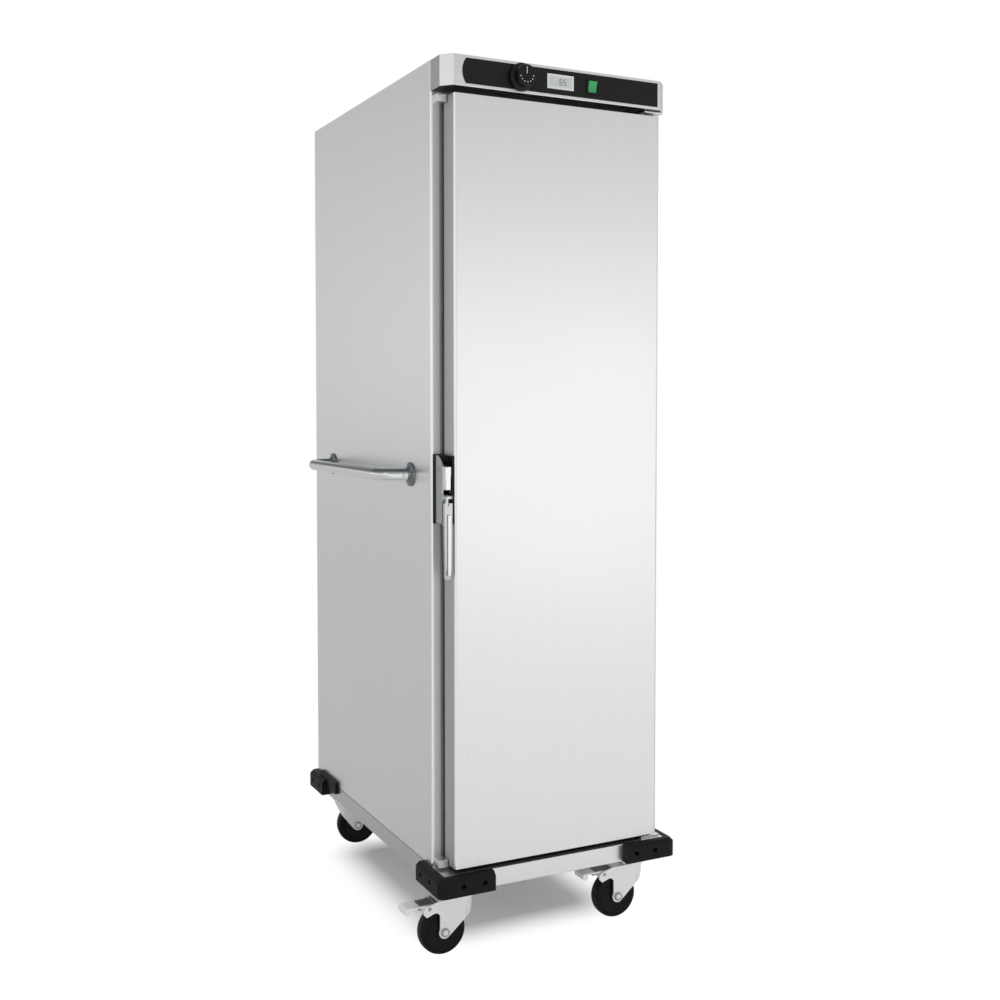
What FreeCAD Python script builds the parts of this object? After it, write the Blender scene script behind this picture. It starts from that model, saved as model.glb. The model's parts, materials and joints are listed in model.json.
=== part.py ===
"""A heated banquet cart: a tall insulated cabinet on casters with one hinged door.

X runs to the right as the user faces the door, Y runs to the back and Z up.
The origin lies on the floor, under the middle of the cart's outer box.
Lengths are in millimetres and angles in degrees.
"""
import FreeCAD, Part
import math
import os
import re
import Sketcher

doc = FreeCAD.newDocument("HeatedBanquetCart")

# Driving sizes, one cell each
sizes = {
    # cabinet shell
    "cabinet_width": 528,
    "cabinet_top": 1819,
    "side_wall": 48,
    "floor_wall": 47,
    "ceiling_wall": 99,
    "sheet_thick": 1.2,
    "fold_radius": 6,
    "flange_width": 24,
    "frame_thick": 1.5,
    # chassis
    "caster_height": 137,
    "chassis_height": 38,
    "chassis_front": 64.5,
    "chassis_sheet": 2,
    "chassis_flange": 110,
    # corner bumpers
    "bumper_thick": 19,
    "front_bumper_arm": 125,
    "rear_bumper_arm": 110,
    "bumper_height": 39,
    "bumper_corner": 16,
    "bumper_bevel": 8,
    "bumper_lip_thick": 8,
    "bumper_lip_low": 21,
    "bumper_lip_height": 12,
    "bumper_lip_start": 45,
    "bumper_lip_end": 161,
    "bumper_screw_inset": 24,
    "bumper_screw_pitch": 48,
    "bumper_sink_radius": 5.5,
    "bumper_sink_depth": 12,
    "bumper_head_radius": 4.5,
    "bumper_head_length": 4,
    "bumper_shank_radius": 2.5,
    # control fascia
    "fascia_height": 62,
    "fascia_over": 68,
    "fascia_chamfer": 22,
    "overlay_left": 40,
    "overlay_right": 29,
    "overlay_margin": 6,
    "overlay_thick": 1.5,
    "overlay_end_radius": 43,
    # thermostat
    "knob_place": 170,
    "knob_gap": 0.8,
    "knob_length": 26,
    "knob_skirt_radius": 28,
    "knob_skirt_thick": 6,
    "knob_grip_radius": 21,
    "knob_nose_radius": 18,
    "knob_slope": 2,
    "knob_shaft_radius": 3,
    "knob_shaft_length": 14,
    "knob_bore_spare": 1,
    "thermostat_side": 46,
    "thermostat_depth": 38,
    "shaft_hole_radius": 5,
    # temperature display
    "display_place": 260,
    "display_width": 62,
    "display_height": 30,
    "display_proud": 3,
    "display_rim": 5,
    "display_depth": 24,
    "window_thick": 1.5,
    "window_sink": 0.5,
    # lit rocker switch
    "switch_place": 337,
    "bezel_width": 29,
    "bezel_height": 33,
    "bezel_proud": 2,
    "bezel_rim": 2.5,
    "switch_wall": 1.5,
    "switch_depth": 24,
    "rocker_gap": 0.8,
    "rocker_pivot_depth": 3,
    "rocker_edge": 5,
    "rocker_valley": 3.2,
    "rocker_root": 1,
    "rocker_tilt": 10,
    "rocker_pin_radius": 1.5,
    # door
    "door_inset_left": 25,
    "door_inset_right": 18,
    "door_gap_low": 10,
    "door_gap_top": 12,
    "door_reach": 60.5,
    "door_edge_radius": 6,
    "door_sheet": 1,
    "seal_gap": 11,
    "seal_width": 10,
    "seal_edge": 13,
    "seal_slack": 0.4,
    # frame stops beside the door
    "stop_inset": 3,
    "stop_gap": 1,
    "stop_reach": 28,
    "stop_height": 16,
    "stop_lift": 5,
    "stop_drop": 9,
    # pivot hinges
    "hinge_edge": 12,
    "hinge_pin_radius": 4,
    "hinge_pin_length": 29,
    "bush_radius": 7,
    "bush_length": 26,
    "bush_rim": 3,
    "bracket_width": 46,
    "bracket_depth": 40,
    "bracket_thick": 5,
    # door latch
    "latch_pivot_height": 942,
    "latch_below": 54,
    "latch_above": 83,
    "latch_reach": 47,
    "latch_stand_off": 6,
    "latch_width": 17.5,
    "latch_cheek": 2.5,
    "latch_top_radius": 26,
    "latch_toe_radius": 9,
    "latch_cap": 12,
    "block_height": 20.5,
    "block_inset": 6,
    "block_round": 18,
    "spacer_thick": 3.5,
    "spacer_front": 2.5,
    "cover_rise": 15,
    "cover_height": 47.5,
    "cover_thick": 10,
    "cover_round": 4,
    "latch_pivot_reach": 51,
    "latch_pin_radius": 2.5,
    "knuckle_radius": 7,
    "knuckle_side_gap": 0.5,
    "knuckle_length": 5.2,
    "lever_top_width": 18,
    "lever_tip_width": 13,
    "lever_thick": 8,
    "lever_drop": 166,
    "lever_shoulder_drop": 12,
    "lever_tip_rise": 22,
    "lever_tip_curl": 4,
    "lever_web_depth": 11,
    "lever_web_height": 45,
    "lever_hole_radius": 2.2,
    "lever_hole_drop": 15,
    "lever_hole_depth": 4,
    "claw_eye_radius": 6,
    "claw_length": 42,
    "claw_rise": 10,
    "claw_drop": 3,
    "claw_gap": 0.6,
    "strike_thick": 4,
    "strike_width": 20,
    "keeper_reach": 10,
    "keeper_height": 10,
    # push handle
    "handle_height": 980,
    "handle_reach": 62,
    "handle_tube_radius": 12.5,
    "handle_tube_wall": 1.5,
    "handle_front": 109,
    "handle_span": 500,
    "handle_bend": 45,
    "handle_flange_radius": 25.5,
    "handle_flange_thick": 10,
    # tray rack
    "upright_depth": 10,
    "upright_width": 25,
    "upright_sheet": 1.5,
    "upright_front": 80,
    "upright_spacing": 440,
    "upright_end_gap": 5,
    "runner_front": 25,
    "runner_length": 600,
    "runner_rear_gap": 15,
    "runner_width": 19,
    "runner_leg": 20,
    "runner_sheet": 1.5,
    "runner_first": 90,
    "runner_pitch": 115,
    # fan and heater
    "baffle_depth": 60,
    "baffle_side_gap": 1,
    "baffle_end_gap": 50,
    "grille_slot_length": 120,
    "grille_slot_height": 8,
    "grille_slot_pitch": 14,
    "fan_wheel_radius": 80,
    "fan_wheel_gap": 12,
    "fan_disc_thick": 2,
    "fan_hub_radius": 12,
    "fan_hub_length": 18,
    "fan_blade_depth": 28,
    "fan_blade_thick": 1.5,
    "fan_blade_inset": 20,
    "fan_shaft_radius": 4,
    "fan_shaft_seat": 24,
    "motor_plate_side": 100,
    "motor_plate_thick": 2,
    "motor_radius": 36,
    "motor_length": 34,
    "heater_ring_radius": 105,
    "heater_tube_radius": 4,
    "heater_leg_radius": 3.5,
    "heater_stand": 28,
    "heater_tail": 16,
    "heater_collar_radius": 9,
    "heater_collar_thick": 3,
    # power inlet
    "inlet_height": 300,
    "inlet_plate_width": 50,
    "inlet_plate_height": 30,
    "inlet_plate_thick": 3,
    "inlet_body_width": 34,
    "inlet_body_height": 24,
    "inlet_body_depth": 26,
    "inlet_wall": 2.5,
    "inlet_cavity_depth": 20,
    "inlet_pin_width": 2,
    "inlet_pin_height": 5,
    "inlet_pin_length": 14,
    "inlet_pin_pitch": 8,
    # casters
    "front_caster_inset": 57,
    "front_caster_back": 49,
    "rear_caster_inset": 47,
    "rear_caster_back": 75,
    "front_caster_trail": 44,
    "rear_caster_trail": 30,
    "front_caster_turn": 0,
    "rear_left_caster_turn": 170,
    "rear_right_caster_turn": 90,
    "plate_side": 92,
    "plate_thick": 4,
    "bolt_pitch": 70,
    "bolt_radius": 4,
    "bolt_head_radius": 7,
    "bolt_head_height": 5,
    "race_radius": 30,
    "race_height": 7.7,
    "swivel_radius": 27,
    "swivel_height": 9,
    "kingpin_radius": 6,
    "kingpin_head_radius": 11,
    "kingpin_head_height": 5,
    "fork_sheet": 3,
    "fork_gap": 38,
    "fork_lead": 25,
    "fork_lip_drop": 9,
    "fork_brow_back": 12,
    "fork_brow_drop": 34,
    "fork_toe_lead": 12,
    "fork_toe_drop": 7,
    "fork_leg_back": 11,
    "fork_eye_radius": 13,
    "fork_arch_rise": 43,
    "fork_arch_run": 13,
    "fork_arch_corner": 6,
    "fork_crown_rear": 58,
    "fork_arm_rear": 91,
    "fork_tip_drop": 7,
    "fork_tip_depth": 22,
    "fork_tip_bevel": 7,
    "axle_radius": 5,
    "axle_head_radius": 8,
    "axle_head_length": 4,
    "wheel_radius": 50,
    "wheel_width": 32,
    "wheel_shoulder": 8,
    "wheel_hub_radius": 14,
    "wheel_hub_width": 36,
    "wheel_dish_radius": 35,
    "wheel_dish_depth": 4,
    # brake pedals
    "pedal_pivot_back": 78,
    "pedal_pivot_drop": 12,
    "pedal_front": 62,
    "pedal_tip": 131,
    "pedal_tip_radius": 7,
    "pedal_sheet": 3,
    "pedal_rise": 4,
    "pedal_side_gap": 1,
    "pedal_barrel_radius": 5,
    "pedal_pin_radius": 2.5,
    "shoe_half_length": 4,
    "shoe_drop": 12,
    # fits
    "running_clearance": 0.05,
    "swing_clearance": 0.3,
    "seat_clearance": 0.2,
    "cut_overrun": 2,
}
tray_levels = 12
grille_slots = 9
fan_blades = 10
shoulder_share = 0.3
same_place = 0.001

sheet = doc.addObject("Spreadsheet::Sheet", "Sizes")
for row, (alias, number) in enumerate(sizes.items(), start=1):
    sheet.set("A%d" % row, alias)
    sheet.set("B%d" % row, str(number))
    sheet.setAlias("B%d" % row, alias)
doc.recompute()

# Places that several pieces share, as expressions in the driving sizes
left = "(0.5 * (handle_reach + handle_tube_radius - cabinet_width - bumper_thick))"
right = f"({left} + cabinet_width)"
knob_front = "(fascia_over + overlay_thick + knob_gap + knob_length)"
cabinet_depth = "(runner_front + runner_length + runner_rear_gap + baffle_depth + side_wall)"
front = f"(0.5 * ({knob_front} - {cabinet_depth} - bumper_thick))"
back = f"({front} + {cabinet_depth})"
deck = "(caster_height + chassis_height)"
chassis_face = f"({front} - chassis_front)"
chamber_left = f"({left} + side_wall)"
chamber_right = f"({right} - side_wall)"
chamber_middle = f"({left} + 0.5 * cabinet_width)"
chamber_back = f"({back} - side_wall)"
chamber_low = f"({deck} + floor_wall)"
chamber_high = "(cabinet_top - ceiling_wall)"
shell_high = "(cabinet_top - sheet_thick)"
fascia_low = "(cabinet_top - fascia_height)"
fascia_face = f"({front} - fascia_over)"
overlay_face = f"({fascia_face} - overlay_thick)"
control_height = "(cabinet_top - 0.5 * fascia_height)"
knob_x = f"({left} + knob_place)"
display_x = f"({left} + display_place)"
switch_x = f"({left} + switch_place)"
door_left = f"({left} + door_inset_left)"
door_right = f"({right} - door_inset_right)"
door_low = f"({deck} + door_gap_low)"
door_high = f"({fascia_low} - door_gap_top)"
door_face = f"({front} - door_reach)"
door_rear = f"({front} - seal_gap)"
hinge_x = f"({door_right} - hinge_edge)"
hinge_y = f"({front} - 0.5 * (door_reach + seal_gap))"
fan_height = f"(0.5 * ({chamber_low} + {chamber_high}))"

nodes = {}


def bound(text):
    """The expression with every size's name pointing at its cell."""
    def refer(match):
        name = match.group(0)
        return "Sizes." + name if name in sizes else name
    return re.sub(r"[a-z_]+", refer, str(text))


def place(item, x="0", y="0", z="0"):
    """Bind an object's position."""
    for axis, text in zip("xyz", (x, y, z)):
        item.setExpression("Placement.Base." + axis, bound(text))
    return item


def turn(item, angle, x="0", y="0", z="0"):
    """Bind an object's turn about the vertical, and its position."""
    item.Placement = FreeCAD.Placement(FreeCAD.Vector(), FreeCAD.Rotation(FreeCAD.Vector(0, 0, 1), 1))
    item.setExpression("Placement.Rotation.Angle", bound(angle))
    return place(item, x, y, z)


def box(name, low, high):
    """A box between two corners."""
    item = doc.addObject("Part::Box", name)
    for side, start, end in zip(("Length", "Width", "Height"), low, high):
        item.setExpression(side, bound(f"({end}) - ({start})"))
    return place(item, *low)


def rod(name, axis, radius, start, length):
    """A round bar that runs from its start along an axis."""
    item = doc.addObject("Part::Cylinder", name)
    item.setExpression("Radius", bound(radius))
    item.setExpression("Height", bound(length))
    turns = {"x": ((0, 1, 0), 90), "y": ((1, 0, 0), -90), "z": ((0, 0, 1), 0)}
    about, angle = turns[axis]
    item.Placement.Rotation = FreeCAD.Rotation(FreeCAD.Vector(*about), angle)
    return place(item, *start)


def fuse(name, items):
    """Several overlapping or touching solids made one."""
    item = doc.addObject("Part::MultiFuse", name)
    item.Shapes = items
    return item


def group(name, items):
    """Several separate solids kept together."""
    item = doc.addObject("Part::Compound", name)
    item.Links = items
    return item


def cut(name, base, tools):
    """A solid with others taken out of it."""
    item = doc.addObject("Part::Cut", name)
    item.Base = base
    item.Tool = tools[0] if len(tools) == 1 else group(name + "_tools", tools)
    return item


def common(name, first, second):
    """What two solids share."""
    item = doc.addObject("Part::Common", name)
    item.Base = first
    item.Tool = second
    return item


def origin_plane(body, role):
    """One of a body's own origin planes."""
    return next(item for item in body.Origin.OriginFeatures if item.Role == role)


def outline(body, name, plane, points):
    """A closed outline of straight sides through points on an origin plane."""
    sketch = body.newObject("Sketcher::SketchObject", name)
    sketch.AttachmentSupport = [(origin_plane(body, plane), "")]
    sketch.MapMode = "FlatFace"
    count = len(points)
    rough = [FreeCAD.Vector(1, 0, 0)]
    for step in range(1, count):
        rough.append(FreeCAD.Rotation(FreeCAD.Vector(0, 0, 1), 360 * step / count) * rough[0])
    for side in range(count):
        sketch.addGeometry(Part.LineSegment(rough[side], rough[(side + 1) % count]), False)
    for side in range(count):
        sketch.addConstraint(Sketcher.Constraint("Coincident", side, 2, (side + 1) % count, 1))
    for side, point in enumerate(points):
        for kind, text, start in zip(("DistanceX", "DistanceY"), point, rough[side]):
            index = sketch.addConstraint(Sketcher.Constraint(kind, -1, 1, side, 1, start))
            sketch.setExpression("Constraints[%d]" % index, bound(text))
    return sketch


def pad(body, name, plane, points, length, reverse=False):
    """An outline pushed out to a length in its own body."""
    feature = body.newObject("PartDesign::Pad", name)
    feature.Profile = outline(body, name + "_outline", plane, points)
    feature.setExpression("Length", bound(length))
    feature.Reversed = reverse
    return feature


def prism(name, plane, points, length, start=("0", "0", "0"), reverse=False):
    """A body made from one outline."""
    body = doc.addObject("PartDesign::Body", name)
    pad(body, name + "_pad", plane, points, length, reverse)
    return place(body, *start)


def turned(name, points):
    """A body turned about Y from an outline of radius and place along Y."""
    body = doc.addObject("PartDesign::Body", name)
    feature = body.newObject("PartDesign::Revolution", name + "_turn")
    sketch = outline(body, name + "_outline", "XY_Plane", points)
    feature.Profile = sketch
    feature.ReferenceAxis = (sketch, ["V_Axis"])
    feature.Angle = 360
    return body


def edges_on(shape, axis, planes):
    """Names of the straight edges along an axis that lie on all the given sides of a shape's box."""
    names = []
    for number, edge in enumerate(shape.Edges, start=1):
        run = edge.Vertexes[-1].Point - edge.Vertexes[0].Point
        across = [abs(getattr(run, other)) for other in "xyz" if other != axis]
        middle = edge.CenterOfMass
        offsets = [getattr(middle, side[0].lower()) - getattr(shape.BoundBox, side) for side in planes]
        if max(across) < same_place and max(abs(offset) for offset in offsets) < same_place:
            names.append("Edge%d" % number)
    return names


def dress(body, kind, name, edges, size):
    """Round or bevel a body's edges, given as (axis, sides) pairs."""
    doc.recompute()
    base = body.Tip
    chosen = [edge for axis, planes in edges for edge in edges_on(base.Shape, axis, planes)]
    feature = body.newObject("PartDesign::" + kind, name)
    feature.Base = (base, chosen)
    feature.setExpression("Radius" if kind == "Fillet" else "Size", bound(size))
    return body


def rounded_box(name, low, high, edges, radius):
    """A box between two corners with some of its edges rounded."""
    body = doc.addObject("PartDesign::Body", name)
    block = body.newObject("PartDesign::AdditiveBox", name + "_block")
    for side, start, end in zip(("Length", "Width", "Height"), low, high):
        block.setExpression(side, bound(f"({end}) - ({start})"))
    place(body, *low)
    return dress(body, "Fillet", name + "_round", edges, radius)


def keep(name, item):
    """List a finished piece under the name of its file."""
    nodes[name] = item
    return item


def chassis():
    """Folded steel base pan with an inward flange for the casters."""
    pan = box("chassis_block", (left, chassis_face, "caster_height"), (right, back, deck))
    inner_low = (f"{left} + chassis_sheet", f"{chassis_face} + chassis_sheet",
                 "caster_height + chassis_sheet")
    inner_high = (f"{right} - chassis_sheet", f"{back} - chassis_sheet", f"{deck} - chassis_sheet")
    hollow = box("chassis_hollow", inner_low, inner_high)
    hatch_low = (f"{left} + chassis_flange", f"{chassis_face} + chassis_flange",
                 "caster_height - cut_overrun")
    hatch_high = (f"{right} - chassis_flange", f"{back} - chassis_flange",
                  "caster_height + chassis_sheet + cut_overrun")
    hatch = box("chassis_hatch", hatch_low, hatch_high)
    holes = []
    for corner, (x, y) in caster_places.items():
        for number, (across, along) in enumerate(bolt_corners):
            start = (f"{x} + {across} * 0.5 * bolt_pitch", f"{y} + {along} * 0.5 * bolt_pitch",
                     "caster_height - cut_overrun")
            holes.append(rod(f"chassis_hole_{corner}_{number}", "z", "bolt_radius + seat_clearance", start,
                             "chassis_sheet + 2 * cut_overrun"))
    keep("chassis_frame", cut("chassis_frame", pan, [hollow, hatch] + holes))


def bumpers():
    """Rubber corner guards, each held by four sunk screws."""
    corners = {
        "front_left": (left, chassis_face, 1, 1),
        "front_right": (right, chassis_face, -1, 1),
        "rear_left": (left, back, 1, -1),
        "rear_right": (right, back, -1, -1),
    }
    screws = []
    for corner, (x, y, across, along) in corners.items():
        def at(run, depth, sign_x=across, sign_y=along, corner_x=x, corner_y=y):
            return (f"{corner_x} + {sign_x} * ({run})", f"{corner_y} + {sign_y} * ({depth})")
        out = "- bumper_thick"
        at_front = along > 0
        tip = "(front_bumper_arm - bumper_thick)" if at_front else "(rear_bumper_arm - bumper_thick)"
        points = [at(out, out), at(tip, out), at(tip, "0"), at("0", "0"), at("0", tip), at(out, tip)]
        body = prism(f"bumper_{corner}_body", "XY_Plane", points, "bumper_height",
                     ("0", "0", "caster_height"))
        side = "XMin" if across > 0 else "XMax"
        face = "YMin" if at_front else "YMax"
        dress(body, "Fillet", f"bumper_{corner}_corner", [("z", (side, face))], "bumper_corner")
        dress(body, "Chamfer", f"bumper_{corner}_brow", [("x", (face, "ZMax")), ("y", (side, "ZMax"))],
              "bumper_bevel")
        guard = body
        if not at_front:
            lip_out, first, last = "- bumper_lip_thick", "bumper_lip_start", "bumper_lip_end"
            lip_points = {
                "across": [at(first, "0"), at(first, lip_out), at(last, lip_out), at(last, "0")],
                "along": [at("0", first), at(lip_out, first), at(lip_out, last), at("0", last)],
            }
            lips = [prism(f"bumper_{corner}_lip_{way}", "XY_Plane", spots,
                          "bumper_height - bumper_lip_low + bumper_lip_height",
                          ("0", "0", "caster_height + bumper_lip_low"))
                    for way, spots in lip_points.items()]
            guard = fuse(f"bumper_{corner}_guard", [body] + lips)
        sinks = []
        middle = "caster_height + 0.5 * bumper_height"
        for number in range(2):
            run = f"{tip} - bumper_screw_inset - {number} * bumper_screw_pitch"
            for axis, outer, inner in (("x", at(out, run), at("0", run)), ("y", at(run, out), at(run, "0"))):
                sign = across if axis == "x" else along
                name = f"bumper_{corner}_{axis}{number}"
                sinks.append(sunk(name + "_sink", axis, sign, outer, middle, "bumper_sink_radius",
                                  "- cut_overrun",
                                  "bumper_sink_depth"))
                sinks.append(sunk(name + "_bore", axis, sign, outer, middle,
                                  "bumper_shank_radius + seat_clearance",
                                  "0", "bumper_thick + cut_overrun"))
                head = sunk(name + "_head", axis, sign, outer, middle, "bumper_head_radius",
                            "bumper_sink_depth - bumper_head_length", "bumper_sink_depth")
                shank = sunk(name + "_shank", axis, sign, outer, middle, "bumper_shank_radius",
                             "bumper_sink_depth - bumper_head_length", "bumper_thick")
                screws.append(fuse(name + "_screw", [head, shank]))
        keep(f"bumper_{corner}", cut(f"bumper_{corner}", guard, sinks))
    keep("bumper_screws", group("bumper_screws", screws))


def sunk(name, axis, sign, outer, height, radius, start, end):
    """A round bar that goes into a bumper from its outer face, between two depths."""
    low = start if sign > 0 else f"- ({end})"
    x, y = outer
    spot = (f"{x} + ({low})", y, height) if axis == "x" else (x, f"{y} + ({low})", height)
    return rod(name, axis, radius, spot, f"({end}) - ({start})")


def side_panel(name, inner_edge, outer_edge, sign):
    """A side sheet folded round the front and back corners."""
    side = "XMin" if sign > 0 else "XMax"
    folds = [("z", (side, "YMin")), ("z", (side, "YMax"))]
    first, last = (outer_edge, inner_edge) if sign > 0 else (inner_edge, outer_edge)
    skin = rounded_box(name + "_skin", (first, front, deck), (last, back, shell_high), folds, "fold_radius")
    low_x = f"{first} + sheet_thick" if sign > 0 else f"{first} - cut_overrun"
    high_x = f"{last} + cut_overrun" if sign > 0 else f"{last} - sheet_thick"
    hollow_low = (low_x, f"{front} + sheet_thick", f"{deck} - cut_overrun")
    hollow_high = (high_x, f"{back} - sheet_thick", f"{shell_high} + cut_overrun")
    hollow = rounded_box(name + "_hollow", hollow_low, hollow_high, folds, "fold_radius - sheet_thick")
    keep(name, cut(name, skin, [hollow]))


def shell():
    """Outer sheets, front frame, liner and the foam between them."""
    side_panel("left_side_panel", f"({left} + flange_width)", left, 1)
    side_panel("right_side_panel", f"({right} - flange_width)", right, -1)
    sheet_low = f"({left} + flange_width)"
    sheet_high = f"({right} - flange_width)"
    panel = box("back_panel_sheet", (sheet_low, f"{back} - sheet_thick", deck),
                (sheet_high, back, shell_high))
    inlet_low = (f"{chamber_middle} - 0.5 * inlet_body_width - seat_clearance",
                 f"{back} - sheet_thick - cut_overrun",
                 "inlet_height - 0.5 * inlet_body_height - seat_clearance")
    inlet_high = (f"{chamber_middle} + 0.5 * inlet_body_width + seat_clearance", f"{back} + cut_overrun",
                  "inlet_height + 0.5 * inlet_body_height + seat_clearance")
    keep("back_panel", cut("back_panel", panel, [box("back_panel_inlet", inlet_low, inlet_high)]))
    rear_folds = [("z", ("XMin", "YMax")), ("z", ("XMax", "YMax"))]
    keep("roof_panel", rounded_box("roof_panel", (left, front, shell_high), (right, back, "cabinet_top"),
                                   rear_folds, "fold_radius"))

    frame = box("front_frame_sheet", (sheet_low, front, deck),
                (sheet_high, f"{front} + frame_thick", shell_high))
    opening = box("front_frame_opening", (chamber_left, f"{front} - cut_overrun", chamber_low),
                  (chamber_right, f"{front} + frame_thick + cut_overrun", chamber_high))
    keep("front_frame", cut("front_frame", frame, [opening]))

    liner_low = (f"{chamber_left} - sheet_thick", f"{front} + frame_thick", f"{chamber_low} - sheet_thick")
    liner_high = (f"{chamber_right} + sheet_thick", f"{chamber_back} + sheet_thick",
                  f"{chamber_high} + sheet_thick")
    chamber = box("liner_chamber", (chamber_left, f"{front} + frame_thick - cut_overrun", chamber_low),
                  (chamber_right, chamber_back, chamber_high))
    wall_start = f"{chamber_back} - cut_overrun"
    wall_length = "sheet_thick + 2 * cut_overrun"
    holes = [rod("liner_shaft_hole", "y", "shaft_hole_radius", (chamber_middle, wall_start, fan_height),
                 wall_length)]
    for name, sign in (("left", "-"), ("right", "+")):
        x = f"{chamber_middle} {sign} heater_ring_radius"
        holes.append(rod(f"liner_heater_hole_{name}", "y", "heater_leg_radius + seat_clearance",
                         (x, wall_start, fan_height), wall_length))
    keep("inner_liner", cut("inner_liner", box("liner_block", liner_low, liner_high), [chamber] + holes))

    insulation(liner_low, liner_high, inlet_low, inlet_high)


def insulation(liner_low, liner_high, inlet_low, inlet_high):
    """Insulation boards round the liner, with room for the fan motor and the power inlet."""
    foam_low = (f"{left} + sheet_thick", f"{front} + frame_thick", deck)
    foam_high = (f"{right} - sheet_thick", f"{back} - sheet_thick", shell_high)
    left_folds = [("z", ("XMin", face)) for face in ("YMin", "YMax")]
    right_folds = [("z", ("XMax", face)) for face in ("YMin", "YMax")]
    boards = [
        rounded_box("floor_board", foam_low, (foam_high[0], foam_high[1], liner_low[2]),
                    left_folds + right_folds, "fold_radius"),
        rounded_box("ceiling_board", (foam_low[0], foam_low[1], liner_high[2]), foam_high,
                    left_folds + right_folds, "fold_radius"),
        rounded_box("left_board", (foam_low[0], foam_low[1], liner_low[2]),
                    (liner_low[0], foam_high[1], liner_high[2]), left_folds, "fold_radius"),
        rounded_box("right_board", (liner_high[0], foam_low[1], liner_low[2]),
                    (foam_high[0], foam_high[1], liner_high[2]), right_folds, "fold_radius"),
    ]
    half_plate = "(0.5 * motor_plate_side + seat_clearance)"
    motor_low = (f"{chamber_middle} - {half_plate}", f"{fan_height} - {half_plate}")
    motor_high = (f"{chamber_middle} + {half_plate}", f"{fan_height} + {half_plate}")
    pocket = f"{back} - inlet_body_depth - seat_clearance"
    near, far = liner_high[1], foam_high[1]
    spans = {
        "below_inlet": (liner_low[0], liner_high[0], near, far, liner_low[2], inlet_low[2]),
        "left_of_inlet": (liner_low[0], inlet_low[0], near, far, inlet_low[2], inlet_high[2]),
        "right_of_inlet": (inlet_high[0], liner_high[0], near, far, inlet_low[2], inlet_high[2]),
        "behind_inlet": (inlet_low[0], inlet_high[0], near, pocket, inlet_low[2], inlet_high[2]),
        "below_motor": (liner_low[0], liner_high[0], near, far, inlet_high[2], motor_low[1]),
        "above_motor": (liner_low[0], liner_high[0], near, far, motor_high[1], liner_high[2]),
    }
    for name, (low_x, high_x, low_y, high_y, low_z, high_z) in spans.items():
        boards.append(box(f"board_{name}", (low_x, low_y, low_z), (high_x, high_y, high_z)))
    flanks = {
        "left": (liner_low[0], motor_low[0], f"{chamber_middle} - heater_ring_radius"),
        "right": (motor_high[0], liner_high[0], f"{chamber_middle} + heater_ring_radius"),
    }
    for name, (low_x, high_x, tail_x) in flanks.items():
        board = box(f"board_{name}_of_motor", (low_x, near, motor_low[1]), (high_x, far, motor_high[1]))
        tail = rod(f"board_tail_{name}", "y", "heater_leg_radius + seat_clearance",
                   (tail_x, chamber_back, fan_height), "heater_tail + cut_overrun")
        boards.append(cut(f"drilled_board_{name}", board, [tail]))
    keep("cabinet_insulation", group("cabinet_insulation", boards))


def frame_stops():
    """Two small blocks on the frame, beside the door's free edge."""
    stops = []
    stop_top = f"({fascia_low} - stop_drop)"
    for name, low_z in (("low", f"({deck} + stop_lift)"), ("high", f"({stop_top} - stop_height)")):
        stops.append(box(f"frame_stop_{name}", (f"{left} + stop_inset", f"{front} - stop_reach", low_z),
                         (f"{door_left} - stop_gap", front, f"{low_z} + stop_height")))
    keep("frame_stops", group("frame_stops", stops))


def tray_rack():
    """Uprights on the chamber's sides, and angle runners that carry the trays."""
    uprights = []
    for side, sign in (("left", 1), ("right", -1)):
        wall = chamber_left if sign > 0 else chamber_right
        step = f"{sign} * upright_depth"
        for row, y in (("front", f"{front} + upright_front"), ("rear",
                                                               f"{front} + upright_front + upright_spacing")):
            name = f"upright_{side}_{row}"
            low_z = f"{chamber_low} + upright_end_gap"
            high_z = f"{chamber_high} - upright_end_gap"
            first, last = (wall, f"{wall} + {step}") if sign > 0 else (f"{wall} + {step}", wall)
            bar = box(name + "_bar", (first, y, low_z), (last, f"{y} + upright_width", high_z))
            inner = ("- cut_overrun", "upright_depth - upright_sheet")
            start, end = inner if sign > 0 else (f"- ({inner[1]})", "cut_overrun")
            groove = box(name + "_groove", (f"{wall} + ({start})", f"{y} + upright_sheet",
                                            f"{low_z} - cut_overrun"),
                         (f"{wall} + ({end})", f"{y} + upright_width - upright_sheet",
                          f"{high_z} + cut_overrun"))
            uprights.append(cut(name, bar, [groove]))
    keep("rack_uprights", group("rack_uprights", uprights))
    for side, sign in (("left", 1), ("right", -1)):
        runners = []
        for level in range(tray_levels):
            name = f"runner_{side}_{level}"
            top = f"{chamber_low} + runner_first + {level} * runner_pitch"
            start = f"({chamber_left} + upright_depth)" if sign > 0 else f"({chamber_right} - upright_depth)"
            spans = {"ledge": ("runner_width", "runner_sheet"), "leg": ("runner_sheet", "runner_leg")}
            bars = []
            for part_name, (width, height) in spans.items():
                first = start if sign > 0 else f"{start} - {width}"
                last = f"{start} + {width}" if sign > 0 else start
                bars.append(box(f"{name}_{part_name}", (first, f"{front} + runner_front",
                                                        f"{top} - {height}"),
                                (last, f"{front} + runner_front + runner_length", top)))
            runners.append(fuse(name, bars))
        keep(f"tray_runners_{side}", group(f"tray_runners_{side}", runners))


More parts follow.
